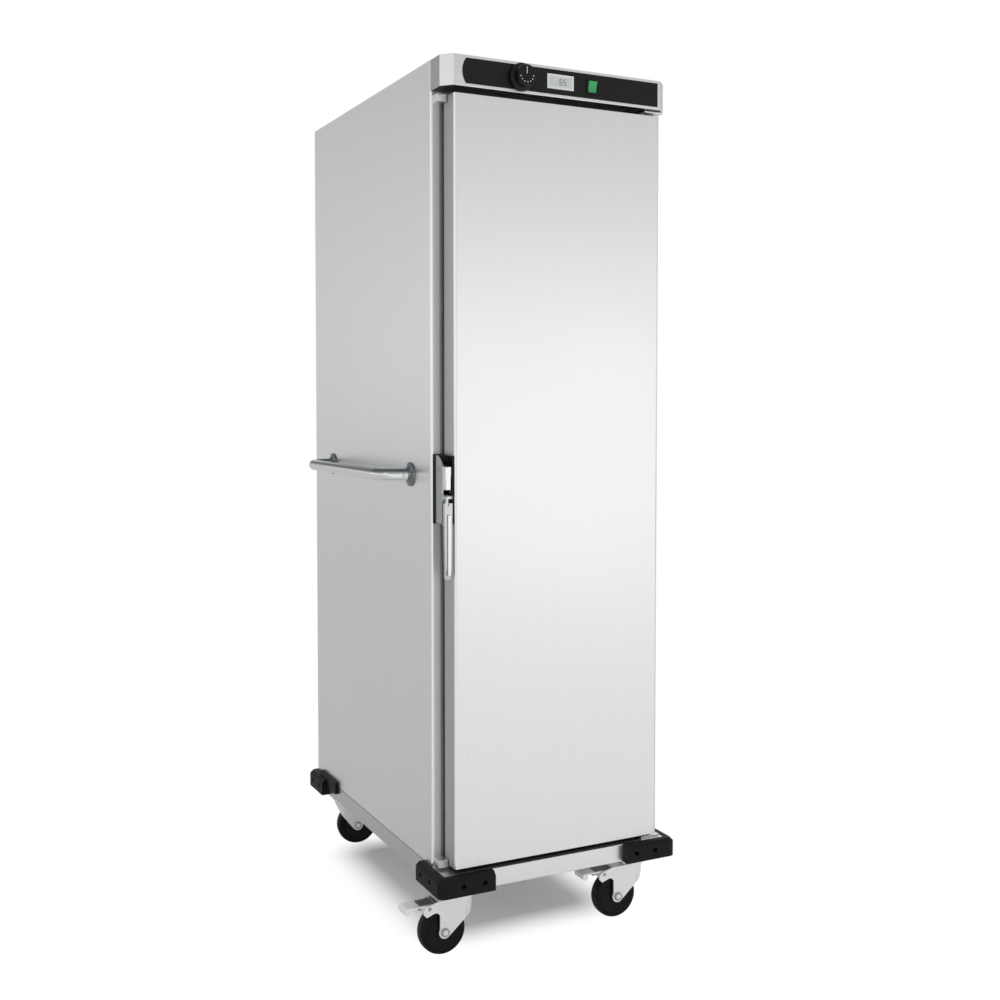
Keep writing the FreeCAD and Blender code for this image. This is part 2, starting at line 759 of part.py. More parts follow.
def fan_and_heater():
    """Air baffle, fan wheel on its motor, and a ring element round the wheel."""
    face = f"({chamber_back} - baffle_depth)"
    low_x = f"({chamber_left} + baffle_side_gap)"
    high_x = f"({chamber_right} - baffle_side_gap)"
    inside = f"{face} + sheet_thick"
    low_z = f"({chamber_low} + baffle_end_gap)"
    high_z = f"({chamber_high} - baffle_end_gap)"
    slots = []
    for number in range(grille_slots):
        offset = number - 0.5 * (grille_slots - 1)
        height = f"{fan_height} + {offset} * grille_slot_pitch"
        slots.append(box(f"baffle_slot_{number}",
                         (f"{chamber_middle} - 0.5 * grille_slot_length", f"{face} - cut_overrun",
                          f"{height} - 0.5 * grille_slot_height"),
                         (f"{chamber_middle} + 0.5 * grille_slot_length", f"{inside} + cut_overrun",
                          f"{height} + 0.5 * grille_slot_height")))
    plate = cut("baffle_plate", box("baffle_sheet", (low_x, face, low_z), (high_x, inside, high_z)), slots)
    returns = [
        box("baffle_left_return", (low_x, inside, low_z),
            (f"{low_x} + sheet_thick", chamber_back, high_z)),
        box("baffle_right_return", (f"{high_x} - sheet_thick", inside, low_z),
            (high_x, chamber_back, high_z)),
    ]
    keep("fan_baffle", group("fan_baffle", [plate] + returns))

    plate_start = f"({chamber_back} + sheet_thick)"
    half_plate = "0.5 * motor_plate_side"
    plate = box("motor_plate", (f"{chamber_middle} - {half_plate}", plate_start,
                                f"{fan_height} - {half_plate}"),
                (f"{chamber_middle} + {half_plate}", f"{plate_start} + motor_plate_thick",
                 f"{fan_height} + {half_plate}"))
    can = rod("motor_can", "y", "motor_radius", (chamber_middle, plate_start, fan_height),
              "motor_plate_thick + motor_length")
    bore = rod("motor_bore", "y", "fan_shaft_radius + running_clearance",
               (chamber_middle, f"{plate_start} - cut_overrun", fan_height),
               "cut_overrun + fan_shaft_seat + cut_overrun")
    keep("fan_motor", cut("fan_motor", fuse("motor_body", [plate, can]), [bore]))

    wheel = doc.addObject("PartDesign::Body", "fan_impeller")
    shaft_end = "fan_wheel_gap + sheet_thick + fan_shaft_seat"
    profile = [("0", "- fan_hub_length"), ("fan_hub_radius", "- fan_hub_length"),
               ("fan_hub_radius", "- fan_disc_thick"), ("fan_wheel_radius", "- fan_disc_thick"),
               ("fan_wheel_radius", "0"), ("fan_shaft_radius", "0"), ("fan_shaft_radius", shaft_end),
               ("0", shaft_end)]
    disc = wheel.newObject("PartDesign::Revolution", "fan_disc")
    sketch = outline(wheel, "fan_disc_outline", "XY_Plane", profile)
    disc.Profile = sketch
    disc.ReferenceAxis = (sketch, ["V_Axis"])
    disc.Angle = 360
    blade_points = [("fan_blade_inset", "- 0.5 * fan_blade_thick"),
                    ("fan_wheel_radius", "- 0.5 * fan_blade_thick"),
                    ("fan_wheel_radius", "0.5 * fan_blade_thick"),
                    ("fan_blade_inset", "0.5 * fan_blade_thick")]
    blade = pad(wheel, "fan_blade", "XZ_Plane", blade_points, "fan_blade_depth")
    ring = wheel.newObject("PartDesign::PolarPattern", "fan_blade_ring")
    ring.Originals = [blade]
    ring.Axis = (blade.Profile[0], ["N_Axis"])
    ring.Angle = 360
    ring.Occurrences = fan_blades
    wheel.Tip = ring
    place(wheel, chamber_middle, f"{chamber_back} - fan_wheel_gap", fan_height)
    keep("fan_impeller", wheel)

    hoop_y = f"({chamber_back} - heater_stand)"
    hoop = doc.addObject("Part::Torus", "heater_hoop")
    hoop.setExpression("Radius1", bound("heater_ring_radius"))
    hoop.setExpression("Radius2", bound("heater_tube_radius"))
    hoop.Placement.Rotation = FreeCAD.Rotation(FreeCAD.Vector(1, 0, 0), 90)
    place(hoop, chamber_middle, hoop_y, fan_height)
    bars = [hoop]
    for name, sign in (("left", "-"), ("right", "+")):
        x = f"{chamber_middle} {sign} heater_ring_radius"
        bars.append(rod(f"heater_leg_{name}", "y", "heater_leg_radius", (x, hoop_y, fan_height),
                        "heater_stand + heater_tail"))
        bars.append(rod(f"heater_collar_{name}", "y", "heater_collar_radius",
                        (x, f"{chamber_back} - heater_collar_thick", fan_height), "heater_collar_thick"))
    keep("heater_element", fuse("heater_element", bars))


def power_inlet():
    """Appliance inlet with three blades, low on the back."""
    spans = {
        "plate": ("inlet_plate_width", "inlet_plate_height", back, f"{back} + inlet_plate_thick"),
        "body": ("inlet_body_width", "inlet_body_height", f"{back} - inlet_body_depth", back),
    }
    bars = [spot_box(f"inlet_{name}", chamber_middle, "inlet_height", *span) for name, span in spans.items()]
    mouth = f"{back} + inlet_plate_thick"
    cavity = spot_box("inlet_cavity", chamber_middle, "inlet_height", "inlet_body_width - 2 * inlet_wall",
                      "inlet_body_height - 2 * inlet_wall", f"{mouth} - inlet_cavity_depth",
                      f"{mouth} + cut_overrun")
    shape = cut("inlet_socket", fuse("inlet_housing", bars), [cavity])
    blades = []
    for number in range(3):
        x = f"{chamber_middle} + {number - 1} * inlet_pin_pitch"
        base = f"{mouth} - inlet_cavity_depth"
        blades.append(spot_box(f"inlet_blade_{number}", x, "inlet_height", "inlet_pin_width",
                               "inlet_pin_height",
                               f"{base} - inlet_wall", f"{base} + inlet_pin_length"))
    keep("power_inlet", fuse("power_inlet", [shape] + blades))


def spot_box(name, x, z, width, height, start, end):
    """A box centred on a spot of an upright face, between two places along Y."""
    return box(name, (f"{x} - 0.5 * ({width})", start, f"{z} - 0.5 * ({height})"),
               (f"{x} + 0.5 * ({width})", end, f"{z} + 0.5 * ({height})"))


def fascia_outline(step):
    """Corners of the fascia's plan, moved inwards by a step."""
    turn_in = f"({step}) * (sqrt(2) - 1)"
    near = f"{fascia_face} + ({step})"
    flank = f"{fascia_face} + fascia_chamfer + {turn_in}"
    nose = f"fascia_chamfer + {turn_in}"
    rear = front if step == "0" else f"{front} + cut_overrun"
    return [(f"{left} + ({step})", rear), (f"{left} + ({step})", flank), (f"{left} + {nose}", near),
            (f"{right} - ({nose})", near), (f"{right} - ({step})", flank), (f"{right} - ({step})", rear)]


def controls():
    """Folded fascia box with its dark overlay, thermostat, display and lit switch."""
    skin = prism("fascia_skin", "XY_Plane", fascia_outline("0"), "fascia_height", ("0", "0", fascia_low))
    hollow = prism("fascia_hollow", "XY_Plane", fascia_outline("sheet_thick"),
                   "fascia_height - 2 * sheet_thick",
                   ("0", "0", f"{fascia_low} + sheet_thick"))
    strip_low = (f"{left} + overlay_left", overlay_face, f"{fascia_low} + overlay_margin")
    strip_high = (f"{right} - overlay_right", fascia_face, "cabinet_top - overlay_margin")
    strip = box("overlay_strip", strip_low, strip_high)
    end_x = f"({left} + overlay_left + overlay_end_radius)"
    disc = rod("overlay_disc", "y", "overlay_end_radius", (end_x, overlay_face, control_height),
               "overlay_thick")
    rest = box("overlay_rest", (end_x, overlay_face, f"{fascia_low}"),
               (strip_high[0], fascia_face, "cabinet_top"))
    overlay = common("overlay_plate", strip, fuse("overlay_limits", [disc, rest]))
    openings = {}
    for layer, start, end in (("fascia", fascia_face, f"{fascia_face} + sheet_thick"),
                              ("overlay", overlay_face, fascia_face)):
        through = (f"{start} - cut_overrun", f"{end} + cut_overrun")
        length = f"({through[1]}) - ({through[0]})"
        openings[layer] = [
            rod(f"{layer}_shaft_hole", "y", "shaft_hole_radius", (knob_x, through[0], control_height),
                length),
            spot_box(f"{layer}_display_hole", display_x, control_height,
                     "display_width - 2 * display_rim + 2 * seat_clearance",
                     "display_height - 2 * display_rim + 2 * seat_clearance", *through),
            spot_box(f"{layer}_switch_hole", switch_x, control_height,
                     "bezel_width - 2 * bezel_rim + 2 * seat_clearance",
                     "bezel_height - 2 * bezel_rim + 2 * seat_clearance", *through),
        ]
    keep("control_fascia", cut("control_fascia", skin, [hollow] + openings["fascia"]))
    keep("control_overlay", cut("control_overlay", overlay, openings["overlay"]))

    inside = f"({fascia_face} + sheet_thick)"
    case = spot_box("thermostat_case", knob_x, control_height, "thermostat_side", "thermostat_side", inside,
                    f"{inside} + thermostat_depth")
    shaft_tip = f"({overlay_face} - knob_gap - knob_shaft_length)"
    spindle = rod("thermostat_spindle", "y", "knob_shaft_radius", (knob_x, shaft_tip, control_height),
                  f"{inside} - {shaft_tip}")
    keep("thermostat_body", fuse("thermostat_body", [case, spindle]))
    bore = "knob_shaft_radius + running_clearance"
    bore_end = "- (knob_shaft_length + knob_bore_spare)"
    knob = turned("thermostat_knob", [
        (bore, "0"), ("knob_skirt_radius", "0"), ("knob_skirt_radius", "- knob_skirt_thick"),
        ("knob_grip_radius", "- (knob_skirt_thick + knob_slope)"), ("knob_nose_radius", "- knob_length"),
        ("0", "- knob_length"), ("0", bore_end), (bore, bore_end)])
    keep("thermostat_knob", place(knob, knob_x, f"{overlay_face} - knob_gap", control_height))

    rim = spot_box("display_rim_block", display_x, control_height, "display_width", "display_height",
                   f"{overlay_face} - display_proud", overlay_face)
    case = spot_box("display_case", display_x, control_height, "display_width - 2 * display_rim",
                    "display_height - 2 * display_rim", overlay_face, f"{overlay_face} + display_depth")
    recess = ("display_width - 2 * display_rim", "display_height - 2 * display_rim")
    pane_face = f"({overlay_face} - display_proud + window_sink)"
    pocket = spot_box("display_pocket", display_x, control_height, *recess,
                      f"{overlay_face} - display_proud - cut_overrun", f"{pane_face} + window_thick")
    keep("display_bezel", cut("display_bezel", fuse("display_block", [rim, case]), [pocket]))
    keep("display_window", spot_box("display_window", display_x, control_height, *recess, pane_face,
                                    f"{pane_face} + window_thick"))

    rim = spot_box("switch_rim", switch_x, control_height, "bezel_width", "bezel_height",
                   f"{overlay_face} - bezel_proud", overlay_face)
    well = ("bezel_width - 2 * bezel_rim", "bezel_height - 2 * bezel_rim")
    case = spot_box("switch_case", switch_x, control_height, *well, overlay_face,
                    f"{overlay_face} + switch_depth")
    mouth = (f"{well[0]} - 2 * switch_wall", f"{well[1]} - 2 * switch_wall")
    pocket = spot_box("switch_pocket", switch_x, control_height, *mouth,
                      f"{overlay_face} - bezel_proud - cut_overrun",
                      f"{overlay_face} + switch_depth - switch_wall")
    pivot_y = f"({overlay_face} + rocker_pivot_depth)"
    span = f"(({mouth[0]}) + 2 * switch_wall - 2 * running_clearance)"
    trunnion_hole = rod("switch_pin_hole", "x", "rocker_pin_radius + running_clearance",
                        (f"{switch_x} - 0.5 * ({well[0]}) - cut_overrun", pivot_y, control_height),
                        f"{well[0]} + 2 * cut_overrun")
    keep("switch_housing", cut("switch_housing", fuse("switch_block", [rim, case]), [pocket, trunnion_hole]))
    half = f"(0.5 * ({mouth[1]}) - rocker_gap)"
    key_width = f"({mouth[0]} - 2 * rocker_gap)"
    key = prism("rocker_key", "YZ_Plane", [("rocker_root", f"- {half}"), ("- rocker_edge", f"- {half}"),
                                           ("- rocker_valley", "0"), ("- rocker_edge", half),
                                           ("rocker_root", half)],
                key_width, (f"- 0.5 * {key_width}", "0", "0"))
    pin = rod("rocker_pin", "x", "rocker_pin_radius", (f"- 0.5 * {span}", "0", "0"), span)
    rocker = fuse("switch_rocker", [key, pin])
    rocker.Placement.Rotation = FreeCAD.Rotation(FreeCAD.Vector(1, 0, 0), 1)
    rocker.setExpression("Placement.Rotation.Angle", bound("rocker_tilt"))
    keep("switch_rocker", place(rocker, switch_x, pivot_y, control_height))


def door():
    """Hollow stainless door with foam, an inner sheet, a seal and hinge bushes."""
    folds = [("z", ("XMin", "YMin")), ("z", ("XMax", "YMin"))]
    skin = rounded_box("door_skin_block", (door_left, door_face, door_low),
                       (door_right, door_rear, door_high),
                       folds, "door_edge_radius")
    low = (f"{door_left} + door_sheet", f"{door_face} + door_sheet", f"{door_low} + door_sheet")
    high = (f"{door_right} - door_sheet", f"{door_rear} + cut_overrun", f"{door_high} - door_sheet")
    hollow = rounded_box("door_hollow", low, high, folds, "door_edge_radius - door_sheet")
    seats = []
    for name, start in (("low", f"{door_low} - cut_overrun"), ("high", f"{door_high} - bush_length")):
        for layer in ("skin", "foam"):
            seats.append(rod(f"door_{layer}_{name}_seat", "z", "bush_radius + seat_clearance",
                             (hinge_x, hinge_y, start), "bush_length + cut_overrun"))
    keep("door_outer_skin", cut("door_outer_skin", skin, [hollow, seats[0], seats[2]]))
    lid_start = f"({door_rear} - sheet_thick)"
    keep("door_inner_panel", box("door_inner_panel", (low[0], lid_start, low[2]),
                                 (high[0], door_rear, high[2])))
    foam = rounded_box("door_foam", low, (high[0], lid_start, high[2]), folds,
                       "door_edge_radius - door_sheet")
    keep("door_insulation", cut("door_insulation", foam, [seats[1], seats[3]]))
    seal_face = f"{front} - seal_slack"
    seal = box("seal_block", (f"{door_left} + seal_edge", door_rear, f"{door_low} + seal_edge"),
               (f"{door_right} - seal_edge", seal_face, f"{door_high} - seal_edge"))
    inside = "(seal_edge + seal_width)"
    middle = box("seal_middle", (f"{door_left} + {inside}", f"{door_rear} - cut_overrun",
                                 f"{door_low} + {inside}"),
                 (f"{door_right} - {inside}", f"{front} + cut_overrun", f"{door_high} - {inside}"))
    keep("door_gasket", cut("door_gasket", seal, [middle]))


def hinges():
    """Pivot brackets over and under the door, their pins, and the door's bushes."""
    spans = {
        "top": (f"{fascia_low} - bracket_thick", fascia_low),
        "bottom": (deck, f"{deck} + bracket_thick"),
    }
    for name, (start, end) in spans.items():
        keep(f"hinge_bracket_{name}", box(
            f"hinge_bracket_{name}",
            (f"{hinge_x} - 0.5 * bracket_width", f"{hinge_y} - 0.5 * bracket_depth", start),
            (f"{hinge_x} + 0.5 * bracket_width", f"{hinge_y} + 0.5 * bracket_depth", end)))
    low_start = f"({deck} + bracket_thick)"
    high_start = f"({fascia_low} - bracket_thick - hinge_pin_length)"
    pins = [rod(f"hinge_pin_{name}", "z", "hinge_pin_radius", (hinge_x, hinge_y, start), "hinge_pin_length")
            for name, start in (("bottom", low_start), ("top", high_start))]
    keep("hinge_pins", group("hinge_pins", pins))
    rim_low = f"({low_start} + swing_clearance)"
    tubes = {
        "bottom": (f"{door_low}", rim_low, f"{door_low} - {rim_low}", low_start),
        "top": (f"{door_high} - bush_length", door_high, f"{high_start} + hinge_pin_length - {door_high} "
                "- swing_clearance", high_start),
    }
    bushes = []
    for name, (start, rim_start, rim_length, pin_start) in tubes.items():
        tube = rod(f"bush_tube_{name}", "z", "bush_radius", (hinge_x, hinge_y, start), "bush_length")
        rim = rod(f"bush_rim_{name}", "z", "bush_radius + bush_rim", (hinge_x, hinge_y, rim_start),
                  rim_length)
        bore = rod(f"bush_bore_{name}", "z", "hinge_pin_radius + running_clearance",
                   (hinge_x, hinge_y, f"{pin_start} - cut_overrun"), "hinge_pin_length + 2 * cut_overrun")
        bushes.append(cut(f"bush_{name}", fuse(f"bush_block_{name}", [tube, rim]), [bore]))
    keep("door_hinge_bushes", group("door_hinge_bushes", bushes))


def latch():
    """Lever latch on the door's edge, and its strike on the cabinet."""
    low = "(latch_pivot_height - latch_below)"
    high = "(latch_pivot_height + latch_above)"
    spacer_x = f"({door_left} - spacer_thick)"
    body_x = f"({spacer_x} - latch_width)"
    slot = (f"({body_x} + latch_cheek)", f"({spacer_x} - latch_cheek)")
    body_rear = f"({front} - latch_stand_off)"
    body_face = f"({front} - latch_reach)"
    spacer = box("spacer_sheet", (spacer_x, f"{door_face} + spacer_front", low), (door_left, body_rear, high))
    block_low = f"({high} - block_height)"
    block_face = f"({body_face} + block_inset)"
    block = prism("spacer_block", "YZ_Plane", [(body_rear, block_low), (body_rear, high), (block_face, high),
                                               (block_face, block_low)],
                  f"{door_left} - {slot[0]}", (slot[0], "0", "0"))
    dress(block, "Fillet", "spacer_brow", [("x", ("YMin", "ZMax"))], "block_round")
    keep("latch_spacer", fuse("latch_spacer", [spacer, block]))

    profile = [(body_rear, low), (body_rear, high), (body_face, high), (body_face, low)]
    shell_body = prism("latch_shell", "YZ_Plane", profile, "latch_width", (body_x, "0", "0"))
    dress(shell_body, "Fillet", "latch_brow", [("x", ("YMin", "ZMax"))], "latch_top_radius")
    dress(shell_body, "Fillet", "latch_toe", [("x", ("YMin", "ZMin"))], "latch_toe_radius")
    pivot = (f"({front} - latch_pivot_reach)", "latch_pivot_height")
    lug_rear = f"{body_face} + latch_cheek"
    ears = []
    for name, start in (("left", body_x), ("right", slot[1])):
        ears.append(rod(f"latch_ear_{name}", "x", "knuckle_radius", (start, *pivot), "latch_cheek"))
        ears.append(box(f"latch_lug_{name}", (start, pivot[0], f"{pivot[1]} - knuckle_radius"),
                        (f"{start} + latch_cheek", lug_rear, f"{pivot[1]} + knuckle_radius")))
    throat = box("latch_throat", (slot[0], f"{body_face} - cut_overrun", f"{low} - cut_overrun"),
                 (slot[1], f"{body_rear} + cut_overrun", f"{block_low} - latch_cap"))
    notch = box("latch_notch", (slot[0], f"{body_face} - cut_overrun", block_low),
                (f"{spacer_x} + cut_overrun", f"{body_rear} + cut_overrun", f"{high} + cut_overrun"))
    pin_hole = rod("latch_pin_hole", "x", "latch_pin_radius + running_clearance",
                   (f"{body_x} - cut_overrun", *pivot), "latch_width + 2 * cut_overrun")
    keep("latch_body", cut("latch_body", fuse("latch_block", [shell_body] + ears), [throat, notch, pin_hole]))
    cover_low = f"({pivot[1]} + cover_rise)"
    keep("latch_cover", rounded_box(
        "latch_cover", (body_x, f"{body_face} - cover_thick", cover_low),
        (spacer_x, body_face, f"{cover_low} + cover_height"),
        [("z", ("XMin", "YMin")), ("z", ("XMax", "YMin")), ("x", ("YMin", "ZMax"))], "cover_round"))
    keep("latch_pin", rod("latch_pin", "x", "latch_pin_radius", (body_x, *pivot), "latch_width"))

    middle = f"({body_x} + 0.5 * latch_width)"
    bore = "latch_pin_radius + running_clearance"
    knuckle_x = f"({slot[0]} + knuckle_side_gap)"
    lever_face = f"({pivot[0]} - knuckle_radius)"
    lever_rear = f"({lever_face} + lever_thick)"
    lever_low = f"({pivot[1]} - lever_drop)"
    shoulder = f"({pivot[1]} - lever_shoulder_drop)"
    side_view = prism("lever_side", "YZ_Plane", [
        (lever_face, pivot[1]), (lever_rear, pivot[1]), (lever_rear, f"{lever_low} + lever_tip_curl"),
        (f"{lever_face} + lever_tip_curl", lever_low), (lever_face, f"{lever_low} + lever_tip_rise")],
        "latch_width", (body_x, "0", "0"))
    neck = "(0.5 * knuckle_length)"
    neck_middle = f"({knuckle_x} + {neck})"
    front_view = prism("lever_front", "XZ_Plane", [
        (knuckle_x, pivot[1]), (knuckle_x, shoulder), (f"{middle} - 0.5 * lever_top_width", shoulder),
        (f"{middle} - 0.5 * lever_tip_width", lever_low), (f"{middle} + 0.5 * lever_tip_width", lever_low),
        (f"{middle} + 0.5 * lever_top_width", shoulder), (f"{neck_middle} + {neck}", shoulder),
        (f"{neck_middle} + {neck}", pivot[1])], "2 * latch_reach", ("0", front, "0"))
    paddle = common("lever_paddle", side_view, front_view)
    knuckle = rod("lever_knuckle", "x", "knuckle_radius", (knuckle_x, *pivot), "knuckle_length")
    web_low = f"({shoulder} - lever_web_height)"
    web = prism("lever_web", "YZ_Plane", [
        (lever_rear, pivot[1]), (lever_rear, web_low), (f"{lever_rear} + lever_web_depth", web_low),
        (f"{lever_rear} + knuckle_side_gap", shoulder)], "knuckle_length", (knuckle_x, "0", "0"))
    lever_bore = rod("lever_bore", "x", bore, (f"{knuckle_x} - cut_overrun", *pivot),
                     "knuckle_length + 2 * cut_overrun")
    dimple = rod("lever_hole", "y", "lever_hole_radius",
                 (middle, f"{lever_face} - cut_overrun", f"{pivot[1]} - lever_hole_drop"),
                 "lever_hole_depth + cut_overrun")
    keep("latch_lever", cut("latch_lever", fuse("lever_block", [paddle, knuckle, web]), [lever_bore, dimple]))

    claw_x = f"({knuckle_x} + knuckle_length + knuckle_side_gap)"
    claw_width = f"({slot[1]} - knuckle_side_gap - {claw_x})"
    eye = rod("claw_eye", "x", "claw_eye_radius", (claw_x, *pivot), claw_width)
    nose_y = f"({pivot[0]} + claw_length)"
    nose_top = f"({pivot[1]} + claw_rise)"
    arm = prism("claw_arm", "YZ_Plane", [
        (pivot[0], f"{pivot[1]} - claw_drop"), (nose_y, f"{pivot[1]} - claw_drop"), (nose_y, nose_top),
        (f"{nose_y} - claw_eye_radius", nose_top), (pivot[0], f"{pivot[1]} + claw_drop")],
        claw_width, (claw_x, "0", "0"))
    claw_bore = rod("claw_bore", "x", bore, (f"{claw_x} - cut_overrun", *pivot),
                    f"{claw_width} + 2 * cut_overrun")
    keep("latch_claw", cut("latch_claw", fuse("claw_block", [eye, arm]), [claw_bore]))

    plate = box("strike_plate", (f"{door_left} - swing_clearance - strike_width", f"{front} - strike_thick",
                                 low),
                (f"{door_left} - swing_clearance", front, high))
    keeper_low = f"({nose_top} + claw_gap)"
    keeper = box("strike_keeper", (claw_x, f"{front} - strike_thick - keeper_reach", keeper_low),
                 (f"{claw_x} + {claw_width}", front, f"{keeper_low} + keeper_height"))
    keep("latch_strike", fuse("latch_strike", [plate, keeper]))


def handle_path(body):
    """The handle's centre line in its own body: a leg, a bend, the run, a bend and a leg."""
    sketch = body.newObject("Sketcher::SketchObject", "handle_path")
    sketch.AttachmentSupport = [(origin_plane(body, "XY_Plane"), "")]
    sketch.MapMode = "FlatFace"
    bend = sheet.get("handle_bend")
    span = sheet.get("handle_span")
    leg = sheet.get("handle_reach") - bend - sheet.get("handle_flange_thick")
    upright = FreeCAD.Vector(0, 0, 1)
    corners = [(0, 0), (-leg, 0), (-leg - bend, bend), (-leg - bend, span - bend), (-leg, span), (0, span)]
    points = [FreeCAD.Vector(*corner, 0) for corner in corners]
    for start in (0, 2, 4):
        sketch.addGeometry(Part.LineSegment(points[start], points[start + 1]), False)
    for centre, start, end in ((FreeCAD.Vector(-leg, bend, 0), 180, 270),
                               (FreeCAD.Vector(-leg, span - bend, 0), 90, 180)):
        circle = Part.Circle(centre, upright, bend)
        sketch.addGeometry(Part.ArcOfCircle(circle, math.radians(start), math.radians(end)), False)
    joints = (("Tangent", 0, 2, 3, 2), ("Coincident", 1, 1, 3, 1), ("Coincident", 1, 2, 4, 2),
              ("Tangent", 2, 1, 4, 1))
    for joint in joints:
        sketch.addConstraint(Sketcher.Constraint(*joint))
    leg_text = "(handle_reach - handle_bend - handle_flange_thick)"
    out = f"- {leg_text} - handle_bend"
    far = "handle_span - handle_bend"
    texts = [("0", "0"), (f"- {leg_text}", "0"), (out, "handle_bend"), (out, far),
             (f"- {leg_text}", "handle_span"),
             ("0", "handle_span")]
    for number, (pair, point) in enumerate(zip(texts, points)):
        for kind, text, value in zip(("DistanceX", "DistanceY"), pair, point):
            index = sketch.addConstraint(Sketcher.Constraint(kind, -1, 1, number // 2, 1 + number % 2, value))
            sketch.setExpression("Constraints[%d]" % index, bound(text))
    return sketch


def push_handle():
    """Bent tube on the left side, on two round flanges."""
    body = doc.addObject("PartDesign::Body", "push_handle")
    path = handle_path(body)
    ring = body.newObject("Sketcher::SketchObject", "handle_ring")
    ring.AttachmentSupport = [(origin_plane(body, "YZ_Plane"), "")]
    ring.MapMode = "FlatFace"
    outer = sheet.get("handle_tube_radius")
    inner = outer - sheet.get("handle_tube_wall")
    rings = ((outer, "handle_tube_radius"), (inner, "handle_tube_radius - handle_tube_wall"))
    for number, (radius, radius_text) in enumerate(rings):
        ring.addGeometry(Part.Circle(FreeCAD.Vector(), FreeCAD.Vector(0, 0, 1), radius), False)
        ring.addConstraint(Sketcher.Constraint("Coincident", number, 3, -1, 1))
        index = ring.addConstraint(Sketcher.Constraint("Radius", number, radius))
        ring.setExpression("Constraints[%d]" % index, bound(radius_text))
    doc.recompute()
    tube = body.newObject("PartDesign::AdditivePipe", "handle_tube")
    tube.Profile = ring
    tube.Spine = (path, [])
    near = f"{front} + handle_front"
    keep("push_handle", place(body, f"{left} - handle_flange_thick", near, "handle_height"))
    flanges = []
    for end, y in (("near", near), ("far", f"{near} + handle_span")):
        flanges.append(rod(f"handle_flange_{end}", "x", "handle_flange_radius",
                           (f"{left} - handle_flange_thick", y, "handle_height"), "handle_flange_thick"))
    keep("handle_flanges", group("handle_flanges", flanges))


bolt_corners = ((-1, -1), (1, -1), (1, 1), (-1, 1))
caster_places = {
    "front_left": (f"({left} + front_caster_inset)", f"({chassis_face} + front_caster_back)"),
    "front_right": (f"({right} - front_caster_inset)", f"({chassis_face} + front_caster_back)"),
    "rear_left": (f"({left} + rear_caster_inset)", f"({back} - rear_caster_back)"),
    "rear_right": (f"({right} - rear_caster_inset)", f"({back} - rear_caster_back)"),
}
caster_turns = {
    "front_left": "front_caster_turn",
    "front_right": "front_caster_turn",
    "rear_left": "rear_left_caster_turn",
    "rear_right": "rear_right_caster_turn",
}
plate_low = "(caster_height - plate_thick)"
swivel_top = "(caster_height - plate_thick - race_height - swing_clearance)"
crown_top = f"({swivel_top} - swivel_height)"
crown_low = f"({crown_top} - fork_sheet)"
pedal_pivot_height = f"({crown_top} - pedal_pivot_drop)"


def caster_tops():
    """Top plates with ball races, their bolts, and the kingpins that the forks turn on."""
    plates = []
    bolts = []
    kingpins = []
    for corner, (x, y) in caster_places.items():
        plate = box(f"plate_{corner}_sheet", (f"{x} - 0.5 * plate_side", f"{y} - 0.5 * plate_side",
                                              plate_low),
                    (f"{x} + 0.5 * plate_side", f"{y} + 0.5 * plate_side", "caster_height"))
        race = rod(f"plate_{corner}_race", "z", "race_radius", (x, y, f"{plate_low} - race_height"),
                   "race_height")
        holes = [rod(f"plate_{corner}_bore", "z", "kingpin_radius + running_clearance",
                     (x, y, f"{plate_low} - race_height - cut_overrun"),
                     "race_height + plate_thick + 2 * cut_overrun")]
        for number, (across, along) in enumerate(bolt_corners):
            spot = (f"{x} + {across} * 0.5 * bolt_pitch", f"{y} + {along} * 0.5 * bolt_pitch")
            name = f"bolt_{corner}_{number}"
            holes.append(rod(name + "_hole", "z", "bolt_radius + seat_clearance",
                             (*spot, f"{plate_low} - cut_overrun"), "plate_thick + 2 * cut_overrun"))
            bolts.append(fuse(name, [
                rod(name + "_head", "z", "bolt_head_radius", (*spot, f"{plate_low} - bolt_head_height"),
                    "bolt_head_height"),
                rod(name + "_shank", "z", "bolt_radius", (*spot, plate_low), "plate_thick + chassis_sheet"),
                rod(name + "_nut", "z", "bolt_head_radius", (*spot, "caster_height + chassis_sheet"),
                    "bolt_head_height")]))
        plates.append(cut(f"plate_{corner}", fuse(f"plate_{corner}_block", [plate, race]), holes))
        head_top = f"({crown_low} - swing_clearance)"
        kingpins.append(fuse(f"kingpin_{corner}", [
            rod(f"kingpin_{corner}_head", "z", "kingpin_head_radius",
                (x, y, f"{head_top} - kingpin_head_height"),
                "kingpin_head_height"),
            rod(f"kingpin_{corner}_shank", "z", "kingpin_radius", (x, y, head_top),
                f"caster_height - {head_top}")]))
    keep("caster_plates", group("caster_plates", plates))
    keep("caster_bolts", group("caster_bolts", bolts))
    keep("caster_kingpins", group("caster_kingpins", kingpins))


